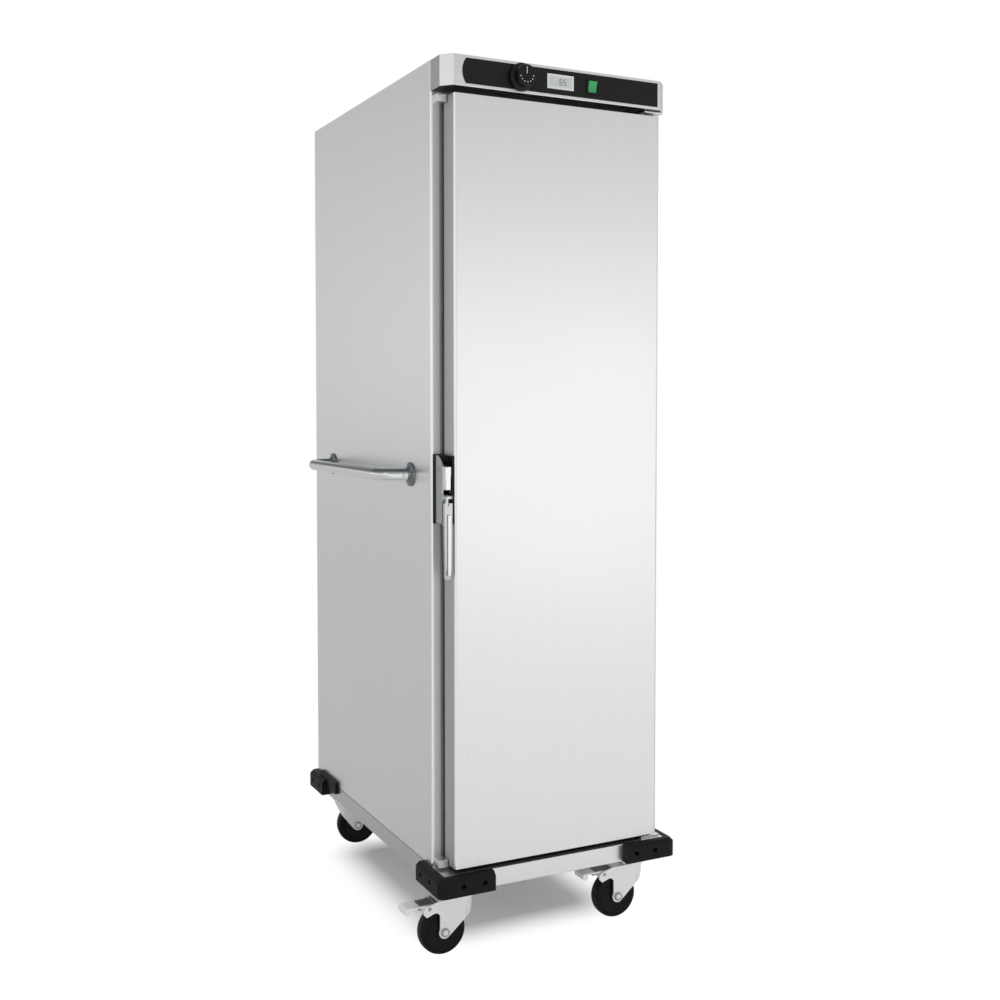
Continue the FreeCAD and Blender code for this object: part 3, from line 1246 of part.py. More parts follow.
def fork_outline(leg_x, trail, braked):
    """The fork's side view: the hood, the leg and, where there is a brake, the arm behind the arch."""
    points = [("fork_lead", crown_top), ("fork_lead", f"{crown_top} - fork_lip_drop"),
              ("fork_lead - fork_brow_back", f"{crown_top} - fork_brow_drop"),
              (f"- {trail} + fork_toe_lead", "wheel_radius - fork_toe_drop"), (leg_x, "wheel_radius")]
    if not braked:
        return points + [(leg_x, crown_top)]
    arch = "(wheel_radius + fork_arch_rise)"
    tip_high = f"({crown_top} - fork_tip_drop)"
    tip_low = f"({tip_high} - fork_tip_depth)"
    points += [(leg_x, f"{arch} - fork_arch_corner"), (f"{leg_x} - fork_arch_corner", arch),
               (f"{leg_x} - fork_arch_run", arch), ("- fork_arm_rear + fork_tip_bevel", tip_low),
               ("- fork_arm_rear", f"{tip_low} + fork_tip_bevel"),
               ("- fork_arm_rear", f"{tip_high} - fork_tip_bevel"),
               ("- fork_arm_rear + fork_tip_bevel", tip_high), ("- fork_crown_rear", crown_top)]
    return points


def caster(corner, angle, braked):
    """A fork with its axle, its wheel and, at the front, a brake pedal."""
    x, y = caster_places[corner]
    half = "(0.5 * fork_gap + fork_sheet)"
    hood_x = f"(fork_lead - {half})"
    trail = "front_caster_trail" if braked else "rear_caster_trail"
    leg_x = f"(- {trail} - fork_leg_back)"
    rear = "fork_arm_rear" if braked else f"({trail} + fork_eye_radius)"
    eye_low = "(wheel_radius - fork_eye_radius)"
    block = fuse(f"fork_{corner}_outer", [
        box(f"fork_{corner}_outer_box", (f"- {rear}", f"- {half}", eye_low), (hood_x, half, crown_top)),
        rod(f"fork_{corner}_outer_nose", "z", half, (hood_x, "0", eye_low), f"{crown_top} - {eye_low}")])
    inside = "(0.5 * fork_gap)"
    hollow_low = f"({eye_low} - cut_overrun)"
    hollows = [
        box(f"fork_{corner}_inner_box", (f"- {rear} - cut_overrun", f"- {inside}", hollow_low),
            (hood_x, inside, crown_low)),
        rod(f"fork_{corner}_inner_nose", "z", inside, (hood_x, "0", hollow_low),
            f"{crown_low} - {hollow_low}")]
    if braked:
        hollows.append(box(f"fork_{corner}_arm_gap", (f"- {rear} - cut_overrun", f"- {inside}", eye_low),
                           ("- fork_crown_rear", inside, f"{crown_top} + cut_overrun")))
    side_view = prism(f"fork_{corner}_side", "XZ_Plane", fork_outline(leg_x, trail, braked),
                      f"2 * ({half} + cut_overrun)",
                      ("0", f"{half} + cut_overrun", "0"))
    hood = common(f"fork_{corner}_hood", cut(f"fork_{corner}_shell", block, hollows), side_view)
    pieces = [hood]
    for side, eye_start in (("near", f"- {half}"), ("far", inside)):
        pieces.append(rod(f"fork_{corner}_{side}_eye", "y", "fork_eye_radius",
                          (f"- {trail}", eye_start, "wheel_radius"), "fork_sheet"))
    pieces.append(rod(f"fork_{corner}_swivel", "z", "swivel_radius", ("0", "0", crown_low),
                      "fork_sheet + swivel_height"))
    holes = [rod(f"fork_{corner}_bore", "z", "kingpin_radius + running_clearance",
                 ("0", "0", f"{crown_low} - cut_overrun"), "fork_sheet + swivel_height + 2 * cut_overrun"),
             rod(f"fork_{corner}_axle_hole", "y", "axle_radius + seat_clearance",
                 (f"- {trail}", f"- {half} - cut_overrun", "wheel_radius"),
                 f"2 * {half} + 2 * cut_overrun")]
    fork = cut(f"fork_{corner}_frame", fuse(f"fork_{corner}_block", pieces), holes)
    axle = fuse(f"axle_{corner}", [
        rod(f"axle_{corner}_bar", "y", "axle_radius", (f"- {trail}", f"- {half}", "wheel_radius"),
            f"2 * {half}"),
        rod(f"axle_{corner}_head", "y", "axle_head_radius",
            (f"- {trail}", f"- {half} - axle_head_length", "wheel_radius"), "axle_head_length"),
        rod(f"axle_{corner}_nut", "y", "axle_head_radius", (f"- {trail}", half, "wheel_radius"),
            "axle_head_length")])
    solids = [fork, axle]
    if braked:
        pin_start = ("- pedal_pivot_back", "- 0.5 * fork_gap", pedal_pivot_height)
        solids.append(rod(f"pedal_pin_{corner}", "y", "pedal_pin_radius", pin_start, "fork_gap"))
    keep(f"caster_fork_{corner}", turn(group(f"caster_fork_{corner}", solids), angle, x, y, "0"))

    bore = "axle_radius + running_clearance"
    face = "0.5 * wheel_width"
    dish = "0.5 * wheel_width - wheel_dish_depth"
    hub = "0.5 * wheel_hub_width"
    rim_points = [("wheel_radius - wheel_shoulder", face), ("wheel_dish_radius", face),
                  ("wheel_dish_radius - wheel_dish_depth", dish), ("wheel_hub_radius", dish),
                  ("wheel_hub_radius", hub), (bore, hub)]
    lower = [(radius, f"- ({along})") for radius, along in reversed(rim_points)]
    crest = f"({face} - wheel_shoulder)"
    round_radius = f"wheel_radius - {shoulder_share} * wheel_shoulder"
    round_face = f"({face} - {shoulder_share} * wheel_shoulder)"
    tread = [(round_radius, f"- {round_face}"), ("wheel_radius", f"- {crest}"), ("wheel_radius", crest),
             (round_radius, round_face)]
    wheel = turned(f"wheel_{corner}", rim_points + lower + tread)
    keep(f"wheel_{corner}", turn(wheel, angle, f"{x} - {trail} * cos({angle})",
                                 f"{y} - {trail} * sin({angle})", "wheel_radius"))
    if braked:
        brake_pedal(corner, angle, x, y)


def brake_pedal(corner, angle, x, y):
    """A stamped pedal that pivots between the fork's rear arms."""
    half = "(0.5 * fork_gap - pedal_side_gap)"
    level = f"({pedal_pivot_height} + pedal_rise)"
    name = f"pedal_{corner}"
    sheet_part = box(name + "_sheet", ("- pedal_tip + pedal_tip_radius", f"- {half}", level),
                     ("- pedal_front", half, f"{level} + pedal_sheet"))
    tip = rod(name + "_tip", "y", "pedal_tip_radius",
              ("- pedal_tip + pedal_tip_radius", f"- {half}", f"{level} + pedal_sheet - pedal_tip_radius"),
              f"2 * {half}")
    barrel = rod(name + "_barrel", "y", "pedal_barrel_radius",
                 ("- pedal_pivot_back", f"- {half}", pedal_pivot_height),
                 f"2 * {half}")
    shoe = box(name + "_shoe", ("- pedal_pivot_back - shoe_half_length", "- 0.5 * wheel_width",
                                f"{pedal_pivot_height} - shoe_drop"),
               ("- pedal_pivot_back + shoe_half_length", "0.5 * wheel_width", pedal_pivot_height))
    bore = rod(name + "_bore", "y", "pedal_pin_radius + running_clearance",
               ("- pedal_pivot_back", f"- {half} - cut_overrun", pedal_pivot_height),
               f"2 * {half} + 2 * cut_overrun")
    pedal = cut(f"brake_{name}", fuse(name + "_block", [sheet_part, tip, barrel, shoe]), [bore])
    keep(f"brake_pedal_{corner}", turn(pedal, angle, x, y, "0"))


chassis()
bumpers()
shell()
frame_stops()
tray_rack()
fan_and_heater()
power_inlet()
controls()
door()
hinges()
latch()
push_handle()
caster_tops()
for corner, angle in caster_turns.items():
    caster(corner, angle, corner.startswith("front"))

doc.recompute()
faults = [item.Name for item in doc.Objects if "Invalid" in item.State or "Error" in item.State]
for name, item in nodes.items():
    item.Label = name
    if item.Shape.isNull() or not item.Shape.isValid() or not item.Shape.Solids:
        faults.append(name)
if faults:
    raise RuntimeError("these pieces failed: " + ", ".join(faults))

os.makedirs("parts", exist_ok=True)
for name, item in nodes.items():
    item.Shape.exportStep("parts/%s.step" % name)
print(len(nodes), "pieces written")
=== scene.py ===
import json
import math
import bmesh
import bpy
from mathutils import Euler, Matrix, Vector


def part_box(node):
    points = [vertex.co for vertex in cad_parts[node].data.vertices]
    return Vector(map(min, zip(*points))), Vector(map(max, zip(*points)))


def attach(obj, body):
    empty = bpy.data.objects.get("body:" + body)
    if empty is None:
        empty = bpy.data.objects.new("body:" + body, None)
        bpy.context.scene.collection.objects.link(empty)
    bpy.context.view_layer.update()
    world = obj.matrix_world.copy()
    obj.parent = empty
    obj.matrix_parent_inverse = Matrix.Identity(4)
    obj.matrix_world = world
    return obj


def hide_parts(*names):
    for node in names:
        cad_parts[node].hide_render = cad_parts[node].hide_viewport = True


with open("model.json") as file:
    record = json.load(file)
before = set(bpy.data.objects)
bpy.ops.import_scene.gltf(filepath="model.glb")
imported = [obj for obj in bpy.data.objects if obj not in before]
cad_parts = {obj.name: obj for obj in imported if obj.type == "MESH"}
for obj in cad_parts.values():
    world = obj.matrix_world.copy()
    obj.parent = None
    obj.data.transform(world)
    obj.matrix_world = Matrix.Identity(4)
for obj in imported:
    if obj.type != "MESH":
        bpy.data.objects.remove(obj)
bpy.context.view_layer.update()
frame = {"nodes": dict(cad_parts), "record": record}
nodes = frame["nodes"]
slotOf = {row["node"]: row["material_slot"] for row in frame["record"]["subparts"]}
behaviour = frame["record"]["behaviour"]
bodyOf = {node: body for body, members in behaviour["bodies"].items() for node in members}
jointOf = {row["name"]: row for row in behaviour["joints"]}
mm = 0.001
print("frame loaded:", len(nodes), "nodes")


# materials

def linearColour(hexText):
    parts = [int(hexText[i:i + 2], 16) / 255 for i in (1, 3, 5)]
    return tuple(c / 12.92 if c <= 0.04045 else ((c + 0.055) / 1.055) ** 2.4 for c in parts) + (1.0,)


def addNode(tree, kind, settings=None, sockets=None, links=None):
    node = tree.nodes.new(kind)
    for key, value in (settings or {}).items():
        setattr(node, key, value)
    for key, value in (sockets or {}).items():
        node.inputs[key].default_value = value
    for key, source in (links or {}).items():
        tree.links.new(source, node.inputs[key])
    return node


def newMaterial(name):
    material = bpy.data.materials.new(name)
    material.use_nodes = True
    tree = material.node_tree
    return material, tree, tree.nodes["Principled BSDF"]


def joinFinish(tree, shader, colour, roughness, bump):
    tree.links.new(colour, shader.inputs["Base Color"])
    tree.links.new(roughness, shader.inputs["Roughness"])
    tree.links.new(bump, shader.inputs["Normal"])


# places of a Mix node's colour sockets
mixFactor, mixFirst, mixSecond, mixResult = 0, 6, 7, 2

# rolled and brushed sheet: a long fine grain that smears reflections one way, with faint smudges
brushedBase = dict(grainDetail=4.0, grainBreak=0.6, smudgeDetail=2.0, bumpMm=0.05, metallic=1.0)


def brushedSteel(name, look):
    look = dict(brushedBase, **look)
    material, tree, shader = newMaterial(name)
    place = addNode(tree, "ShaderNodeTexCoord")
    stretch = [1 / (look["grainMm"] * mm)] * 3
    stretch["xyz".index(look["along"])] = 1 / (look["strokeMm"] * mm)
    grainSpace = addNode(tree, "ShaderNodeMapping", sockets={"Scale": stretch},
                         links={"Vector": place.outputs["Object"]})
    grain = addNode(tree, "ShaderNodeTexNoise",
                    sockets={"Scale": 1.0, "Detail": look["grainDetail"], "Roughness": look["grainBreak"]},
                    links={"Vector": grainSpace.outputs["Vector"]})
    smudge = addNode(tree, "ShaderNodeTexNoise",
                     sockets={"Scale": 1 / (look["smudgeMm"] * mm), "Detail": look["smudgeDetail"]},
                     links={"Vector": place.outputs["Object"]})
    rough = look["roughness"]
    grainRough = addNode(tree, "ShaderNodeMapRange",
                         sockets={"To Min": rough - look["grainSwing"], "To Max": rough + look["grainSwing"]},
                         links={"Value": grain.outputs["Fac"]})
    swing = addNode(tree, "ShaderNodeMapRange",
                    sockets={"To Min": -look["smudgeSwing"], "To Max": look["smudgeSwing"]},
                    links={"Value": smudge.outputs["Fac"]})
    total = addNode(tree, "ShaderNodeMath", {"operation": "ADD"},
                    links={0: grainRough.outputs[0], 1: swing.outputs[0]})
    tint = addNode(tree, "ShaderNodeMix", {"data_type": "RGBA"},
                   {mixFirst: linearColour(look["dark"]), mixSecond: linearColour(look["light"])},
                   {mixFactor: grain.outputs["Fac"]})
    bump = addNode(tree, "ShaderNodeBump", sockets={"Strength": look["bump"], "Distance": look["bumpMm"] * mm},
                   links={"Height": grain.outputs["Fac"]})
    shader.inputs["Metallic"].default_value = look["metallic"]
    joinFinish(tree, shader, tint.outputs[mixResult], total.outputs[0], bump.outputs["Normal"])
    return material


# plated or polished metal: a tight mirror with a slow ripple and a little haze; a painted reflection of a dark
# ceiling can be set, which darkens the faces that look up
platedBase = dict(rippleDetail=2.0, hazeDetail=4.0, bumpMm=0.2, metallic=1.0, upFrom=0.15, upTo=0.62)


def platedMetal(name, look):
    look = dict(platedBase, **look)
    material, tree, shader = newMaterial(name)
    place = addNode(tree, "ShaderNodeTexCoord")
    ripple = addNode(tree, "ShaderNodeTexNoise",
                     sockets={"Scale": 1 / (look["rippleMm"] * mm), "Detail": look["rippleDetail"]},
                     links={"Vector": place.outputs["Object"]})
    haze = addNode(tree, "ShaderNodeTexNoise",
                   sockets={"Scale": 1 / (look["hazeMm"] * mm), "Detail": look["hazeDetail"]},
                   links={"Vector": place.outputs["Object"]})
    rough = addNode(tree, "ShaderNodeMapRange",
                    sockets={"To Min": look["clear"], "To Max": look["hazy"]}, links={"Value": haze.outputs["Fac"]})
    tint = addNode(tree, "ShaderNodeMix", {"data_type": "RGBA"},
                   {mixFirst: linearColour(look["dark"]), mixSecond: linearColour(look["light"])},
                   {mixFactor: haze.outputs["Fac"]})
    bump = addNode(tree, "ShaderNodeBump", sockets={"Strength": look["bump"], "Distance": look["bumpMm"] * mm},
                   links={"Height": ripple.outputs["Fac"]})
    tone = tint.outputs[mixResult]
    # painted reflection: faces that look up are mixed toward the dark ceiling colour
    if "ceiling" in look:
        facing = addNode(tree, "ShaderNodeNewGeometry")
        parts = addNode(tree, "ShaderNodeSeparateXYZ", links={"Vector": facing.outputs["Normal"]})
        paintedTopMask = addNode(tree, "ShaderNodeMapRange", {"interpolation_type": "SMOOTHSTEP"},
                         {"From Min": look["upFrom"], "From Max": look["upTo"]}, {"Value": parts.outputs["Z"]})
        tone = addNode(tree, "ShaderNodeMix", {"data_type": "RGBA"}, {mixSecond: linearColour(look["ceiling"])},
                       {mixFactor: paintedTopMask.outputs[0], mixFirst: tone}).outputs[mixResult]
    shader.inputs["Metallic"].default_value = look["metallic"]
    joinFinish(tree, shader, tone, rough.outputs[0], bump.outputs["Normal"])
    return material


# moulded rubber and plastic: a fine grit from the mould, with a tone that wanders slowly; real grit is
# about 0.05 mm wide, drawn 0.8 to 3 mm wide so that it shows
mouldedBase = dict(gritDetail=3.0, wanderDetail=3.0, bumpMm=0.1, specular=0.5)


def moulded(name, look):
    look = dict(mouldedBase, **look)
    material, tree, shader = newMaterial(name)
    place = addNode(tree, "ShaderNodeTexCoord")
    grit = addNode(tree, "ShaderNodeTexNoise",
                   sockets={"Scale": 1 / (look["gritMm"] * mm), "Detail": look["gritDetail"]},
                   links={"Vector": place.outputs["Object"]})
    wander = addNode(tree, "ShaderNodeTexNoise",
                     sockets={"Scale": 1 / (look["wanderMm"] * mm), "Detail": look["wanderDetail"]},
                     links={"Vector": place.outputs["Object"]})
    tint = addNode(tree, "ShaderNodeMix", {"data_type": "RGBA"},
                   {mixFirst: linearColour(look["dark"]), mixSecond: linearColour(look["light"])},
                   {mixFactor: wander.outputs["Fac"]})
    rough = addNode(tree, "ShaderNodeMapRange", sockets={"To Min": look["smooth"], "To Max": look["rough"]},
                    links={"Value": wander.outputs["Fac"]})
    bump = addNode(tree, "ShaderNodeBump", sockets={"Strength": look["bump"], "Distance": look["bumpMm"] * mm},
                   links={"Height": grit.outputs["Fac"]})
    shader.inputs["IOR"].default_value = look["ior"]
    shader.inputs["Specular IOR Level"].default_value = look["specular"]
    joinFinish(tree, shader, tint.outputs[mixResult], rough.outputs[0], bump.outputs["Normal"])
    return material


# 430 stainless sheet; the real grain is about 0.1 mm wide, drawn 3 mm wide so that it shows
sheetLook = dict(along="z", grainMm=3.0, strokeMm=260, smudgeMm=320, roughness=0.33, grainSwing=0.05,
                 smudgeSwing=0.03, dark="#e6e7e8", light="#f0f1f1", bump=0.04)
steelUpright = brushedSteel("stainless_sheet_upright_grain", sheetLook)
steelLevel = brushedSteel("stainless_sheet_level_grain", dict(sheetLook, along="x"))
steelDeep = brushedSteel("stainless_sheet_deep_grain", dict(sheetLook, along="y"))
# the same sheet, greyer and matt as painted shade on left-facing faces and the front post, white and glossier as a
# painted highlight along the front folds, and a little greyer as painted shade on the chassis' left side
steelPaintedShade = brushedSteel("stainless_sheet_painted_shade", dict(
    sheetLook, roughness=0.42, dark="#b2b3b4", light="#bdbebf"))
steelPaintedHighlight = brushedSteel("stainless_sheet_painted_fold_highlight", dict(
    sheetLook, roughness=0.24, dark="#fbfbfb", light="#ffffff"))
steelPaintedFootShade = brushedSteel("stainless_sheet_painted_foot_shade", dict(
    sheetLook, along="y", dark="#c6c7c8", light="#d0d1d2"))
# zinc plate is bright but cloudy
zincLook = dict(rippleMm=14, hazeMm=7, clear=0.30, hazy=0.44, dark="#eceeef", light="#f8f9f9", bump=0.05,
                metallic=0.55)
zinc = platedMetal("bright_zinc_plated_steel", zincLook)
# chromium plate is a clear mirror, with a painted reflection of a dim ceiling on the faces that look up
paintedCeilingReflection = "#5a5d60"
chromeLook = dict(rippleMm=30, hazeMm=12, clear=0.06, hazy=0.12, dark="#e8eaeb", light="#f4f5f5", bump=0.02,
                  ceiling=paintedCeilingReflection)
chrome = platedMetal("chromium_plated_steel", chromeLook)
rosetteChrome = platedMetal("pressed_chromium_plated_steel", dict(chromeLook, dark="#717476", light="#8b8e90"))
# bolts are zinc plated too, greyer and clearer
boltSteel = platedMetal("zinc_plated_bolt", dict(
    zincLook, clear=0.22, hazy=0.32, dark="#a4a7a9", light="#b8bbbd", metallic=1.0))
# the latch's plated castings: satin body, polished cover, softer lever, each with the painted ceiling reflection on
# faces that look up
latchMetal = platedMetal("satin_chromium_plated_zinc", dict(
    rippleMm=12, hazeMm=8, clear=0.18, hazy=0.28, dark="#a2a5a7", light="#b8bbbd", bump=0.03, ceiling=paintedCeilingReflection))
latchBrightLook = dict(rippleMm=20, hazeMm=8, clear=0.08, hazy=0.15, dark="#dadcde", light="#e8e9ea", bump=0.02,
                       ceiling=paintedCeilingReflection)
latchBright = platedMetal("polished_chromium_plated_zinc", latchBrightLook)
leverChrome = platedMetal("soft_chromium_plated_zinc", dict(
    latchBrightLook, clear=0.14, hazy=0.22, dark="#bcbec0", light="#cacccd"))
# black oxide is a dark metal with hardly a highlight
blackSteel = platedMetal("black_oxide_steel", dict(
    rippleMm=6, hazeMm=3, clear=0.4, hazy=0.55, dark="#17181a", light="#232426", bump=0.05))
# rubber is nearly black, with broad weak highlights
bumperRubber = moulded("moulded_nitrile_rubber", dict(
    gritMm=1.5, wanderMm=60, dark="#0e0e0f", light="#151516", smooth=0.46, rough=0.6, ior=1.52, specular=0.16,
    bump=0.12))
sealRubber = moulded("extruded_silicone_seal", dict(
    gritMm=2.5, wanderMm=80, dark="#1b1b1c", light="#262627", smooth=0.55, rough=0.65, ior=1.41, bump=0.06))
wheelRubber = moulded("thermoplastic_rubber_wheel", dict(
    gritMm=1.8, wanderMm=40, dark="#08080a", light="#101012", smooth=0.38, rough=0.5, ior=1.5, specular=0.18,
    bump=0.08))
# hard plastics have tighter highlights
blackPlastic = moulded("moulded_black_abs", dict(
    gritMm=1.2, wanderMm=50, dark="#0c0c0d", light="#121213", smooth=0.32, rough=0.42, ior=1.54, specular=0.24,
    bump=0.05))
nylon = moulded("turned_grey_nylon", dict(
    gritMm=1.5, wanderMm=20, dark="#8d8e8f", light="#a0a1a2", smooth=0.4, rough=0.5, ior=1.53, bump=0.05))
silverPlastic = moulded("silver_painted_abs", dict(
    gritMm=1.0, wanderMm=25, dark="#d4d6d8", light="#e6e8e9", smooth=0.3, rough=0.38, ior=1.5, bump=0.03))
# the pane and the lens are smooth and mirror lamps sharply
displayPane = moulded("grey_lcd_glass", dict(
    gritMm=2.0, wanderMm=18, dark="#c3c8c5", light="#d2d6d3", smooth=0.08, rough=0.14, ior=1.5, bump=0.01))
greenLens = moulded("green_tinted_polycarbonate", dict(
    gritMm=2.0, wanderMm=14, dark="#0b8446", light="#1cb468", smooth=0.14, rough=0.22, ior=1.58, bump=0.02))
# wool boards are pale, uneven and without gloss
mineralWool = moulded("pressed_mineral_wool", dict(
    gritMm=3.0, wanderMm=30, dark="#bba866", light="#d8c98a", smooth=0.9, rough=0.98, ior=1.3, bump=0.5))
# blackened plate is a mid grey metal, the brake pads' own plate; on the sides of the latch lever's rib it is painted
# shade
padPlateAndRibShade = platedMetal("blackened_zinc_plate_and_painted_rib_shade", dict(
    rippleMm=9, hazeMm=5, clear=0.32, hazy=0.48, dark="#74787a", light="#8a8e90", bump=0.05))
# print and display figures are flat tones
whiteInk = moulded("white_printing_ink", dict(
    gritMm=0.8, wanderMm=6, dark="#dedfdf", light="#f2f2f1", smooth=0.5, rough=0.6, ior=1.48, bump=0.03))
darkCrystal = moulded("dark_liquid_crystal", dict(
    gritMm=1.5, wanderMm=6, dark="#3a3e3d", light="#484d4b", smooth=0.2, rough=0.3, ior=1.5, bump=0.01))
slotMaterial = {
    "stainless": steelUpright, "zinc_plated_steel": zinc, "chromed_steel": chrome, "black_rubber": bumperRubber,
    "seal_rubber": sealRubber, "wheel_rubber": wheelRubber, "black_plastic": blackPlastic, "bush_nylon": nylon,
    "silver_plastic": silverPlastic, "display_pane": displayPane, "green_lens": greenLens,
    "insulation": mineralWool,
}
nodeMaterial = {
    "chassis_frame": steelLevel, "control_fascia": steelLevel, "roof_panel": steelDeep,
    "tray_runners_left": steelDeep, "tray_runners_right": steelDeep, "hinge_bracket_top": steelLevel,
    # the front post takes the greyer sheet all over, as painted shade
    "hinge_bracket_bottom": steelLevel, "frame_stops": steelLevel, "front_frame": steelPaintedShade,
    "latch_body": latchMetal, "latch_cover": latchBright, "latch_lever": leverChrome, "latch_claw": latchBright,
    "bumper_screws": blackSteel,
}
for name, node in nodes.items():
    node.data.materials.clear()
    node.data.materials.append(nodeMaterial.get(name, slotMaterial[slotOf[name]]))
print("materials made:", len(bpy.data.materials))


# tools that the pieces share

weldMm = 0.002  # points closer than this become one


def finishPiece(shape, name, body, materials, standsFor=(), sharp=38.0):
    bmesh.ops.remove_doubles(shape, verts=shape.verts, dist=weldMm * mm)
    data = bpy.data.meshes.new(name)
    shape.to_mesh(data)
    shape.free()
    for material in materials:
        data.materials.append(material)
    data.shade_smooth()
    data.set_sharp_from_angle(angle=math.radians(sharp))
    piece = bpy.data.objects.new(name, data)
    bpy.context.scene.collection.objects.link(piece)
    piece.modifiers.new("flat_faces_stay_flat", "WEIGHTED_NORMAL").keep_sharp = True
    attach(piece, body)
    if standsFor:
        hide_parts(*standsFor)


# an outline of (radius, reach) in mm, turned full circle about an axis
def turnOutline(shape, outline, centre, axis, steps):
    axis = Vector(axis).normalized()
    side = axis.orthogonal().normalized()
    verts = [shape.verts.new(centre + (axis * reach + side * radius) * mm) for radius, reach in outline]
    edges = [shape.edges.new(pair) for pair in zip(verts, verts[1:] + verts[:1])]
    bmesh.ops.spin(shape, geom=verts + edges, cent=centre, axis=axis, angle=2 * math.pi, steps=steps,
                   use_merge=True)
    bmesh.ops.remove_doubles(shape, verts=shape.verts, dist=weldMm * mm)
    bmesh.ops.recalc_face_normals(shape, faces=shape.faces)


# blocks given by their low and high corners, with soft edges
def softSlabs(slabs, soft):
    shape = bmesh.new()
    for low, high in slabs:
        spot = Matrix.Translation((low + high) / 2) @ Matrix.Diagonal((*(high - low), 1.0))
        bmesh.ops.create_cube(shape, size=1.0, matrix=spot)
    bmesh.ops.bevel(shape, geom=shape.edges[:], offset=soft * mm, offset_type="OFFSET", affect="EDGES", segments=2,
                    profile=0.5, material=-1, clamp_overlap=True)
    return shape


# a CAD node's own form with its edges rounded; the front folds can be wider, and faces that look one way can take
# another material, which here paints shade and highlights on them; lengths in mm, angles in degrees
edgeBase = dict(angle=34, shortest=2.0, segments=2, sides=0, foldSegments=5, tones={}, weldMm=0.01,
                flatAngle=0.4, touchMm=0.05, facing=0.95)


def softEdged(node, look):
    look = dict(edgeBase, **look)
    shape = bmesh.new()
    shape.from_mesh(nodes[node].data)
    bmesh.ops.remove_doubles(shape, verts=shape.verts, dist=look["weldMm"] * mm)
    bmesh.ops.dissolve_limit(shape, angle_limit=math.radians(look["flatAngle"]), verts=shape.verts,
                             edges=shape.edges)
    low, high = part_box(node)
    touch = look["touchMm"] * mm

    def sidesTouched(vert):
        return sum(min(vert.co[i] - low[i], high[i] - vert.co[i]) < touch for i in range(3))

    def roundOff(fits, radius, segments, shortest):
        chosen = [edge for edge in shape.edges
                  if edge.is_manifold and edge.is_convex
                  and edge.calc_face_angle() > math.radians(look["angle"])
                  and edge.calc_length() > shortest * mm and all(fits(vert) for vert in edge.verts)]
        bmesh.ops.bevel(shape, geom=chosen, offset=radius * mm, offset_type="OFFSET", affect="EDGES",
                        segments=segments, profile=0.5, material=-1, clamp_overlap=True)

    if "fold" in look:
        roundOff(lambda vert: vert.co.y - low.y < touch, look["fold"], look["foldSegments"],
                 look.get("foldShortest", look["shortest"]))
    roundOff(lambda vert: sidesTouched(vert) >= look["sides"], look["round"], look["segments"], look["shortest"])
    shape.normal_update()
    for number, way in enumerate(look["tones"], start=1):
        for face in shape.faces:
            if face.normal.dot(Vector(way)) > look["facing"]:
                face.material_index = number
    finishPiece(shape, node + "_finished", bodyOf[node],
                [nodes[node].data.materials[0]] + list(look["tones"].values()), [node])


# sheet, castings and mouldings: how far each edge is rounded, in mm
toLeft, downward, leftFrontFold = (-1, 0, 0), (0, 0, -1), (-0.707, -0.707, 0)
edgeLooks = {
    # the chassis' left side takes painted shade
    "chassis_frame": dict(round=2.2, sides=2, shortest=20, segments=3, tones={toLeft: steelPaintedFootShade}),
    # the fascia's underside takes black plastic, which also stands in for the shade in the gap above the door; its
    # left end takes painted shade
    "control_fascia": dict(round=1.8, sides=2, shortest=8, segments=3, angle=20,
                           tones={downward: blackPlastic, toLeft: steelPaintedShade}),
    "control_overlay": dict(round=0.5, shortest=4),
    "roof_panel": dict(round=0.5, sides=2, shortest=20),
    "front_frame": dict(round=0.4, shortest=20),
    "back_panel": dict(round=0.4, shortest=8),
    # the left panel's front fold takes a painted highlight
    "left_side_panel": dict(round=0.5, shortest=20, fold=2.4, tones={leftFrontFold: steelPaintedHighlight}),
    "right_side_panel": dict(round=0.5, shortest=20),
    # the door's left side takes painted shade and its left front fold a painted highlight
    "door_outer_skin": dict(round=0.4, shortest=20, fold=3.2,
                            tones={toLeft: steelPaintedShade, leftFrontFold: steelPaintedHighlight}),
    "frame_stops": dict(round=1.2),
    "hinge_bracket_top": dict(round=1.0),
    "hinge_bracket_bottom": dict(round=1.0),
    "latch_body": dict(round=0.9, shortest=1.5),
    "latch_cover": dict(round=0.8, shortest=1.5, fold=2.4, foldShortest=20),
    "latch_lever": dict(round=1.4, shortest=2.5, segments=3),
    "latch_claw": dict(round=0.6, shortest=1.5),
    "latch_spacer": dict(round=0.6),
    "latch_strike": dict(round=0.8),
    "display_bezel": dict(round=1.1, shortest=6, segments=3),
    "switch_housing": dict(round=0.7, shortest=6),
    "switch_rocker": dict(round=0.7, shortest=6),
    "power_inlet": dict(round=0.7, shortest=4),
    "bumper_front_left": dict(round=2.4, shortest=2.2, segments=3),
    "bumper_front_right": dict(round=2.4, shortest=2.2, segments=3),
    "bumper_rear_left": dict(round=2.0, shortest=2.2, segments=3),
    "bumper_rear_right": dict(round=2.0, shortest=2.2, segments=3),
    "caster_fork_front_left": dict(round=0.8, shortest=1.6),
    "caster_fork_front_right": dict(round=0.8, shortest=1.6),
    "caster_fork_rear_left": dict(round=0.8, shortest=1.6),
    "caster_fork_rear_right": dict(round=0.8, shortest=1.6),
    "brake_pedal_front_left": dict(round=0.9),
    "brake_pedal_front_right": dict(round=0.9),
    "caster_plates": dict(round=0.8, shortest=4),
}
for name, look in edgeLooks.items():
    softEdged(name, look)
print("edges rounded:", len(edgeLooks))


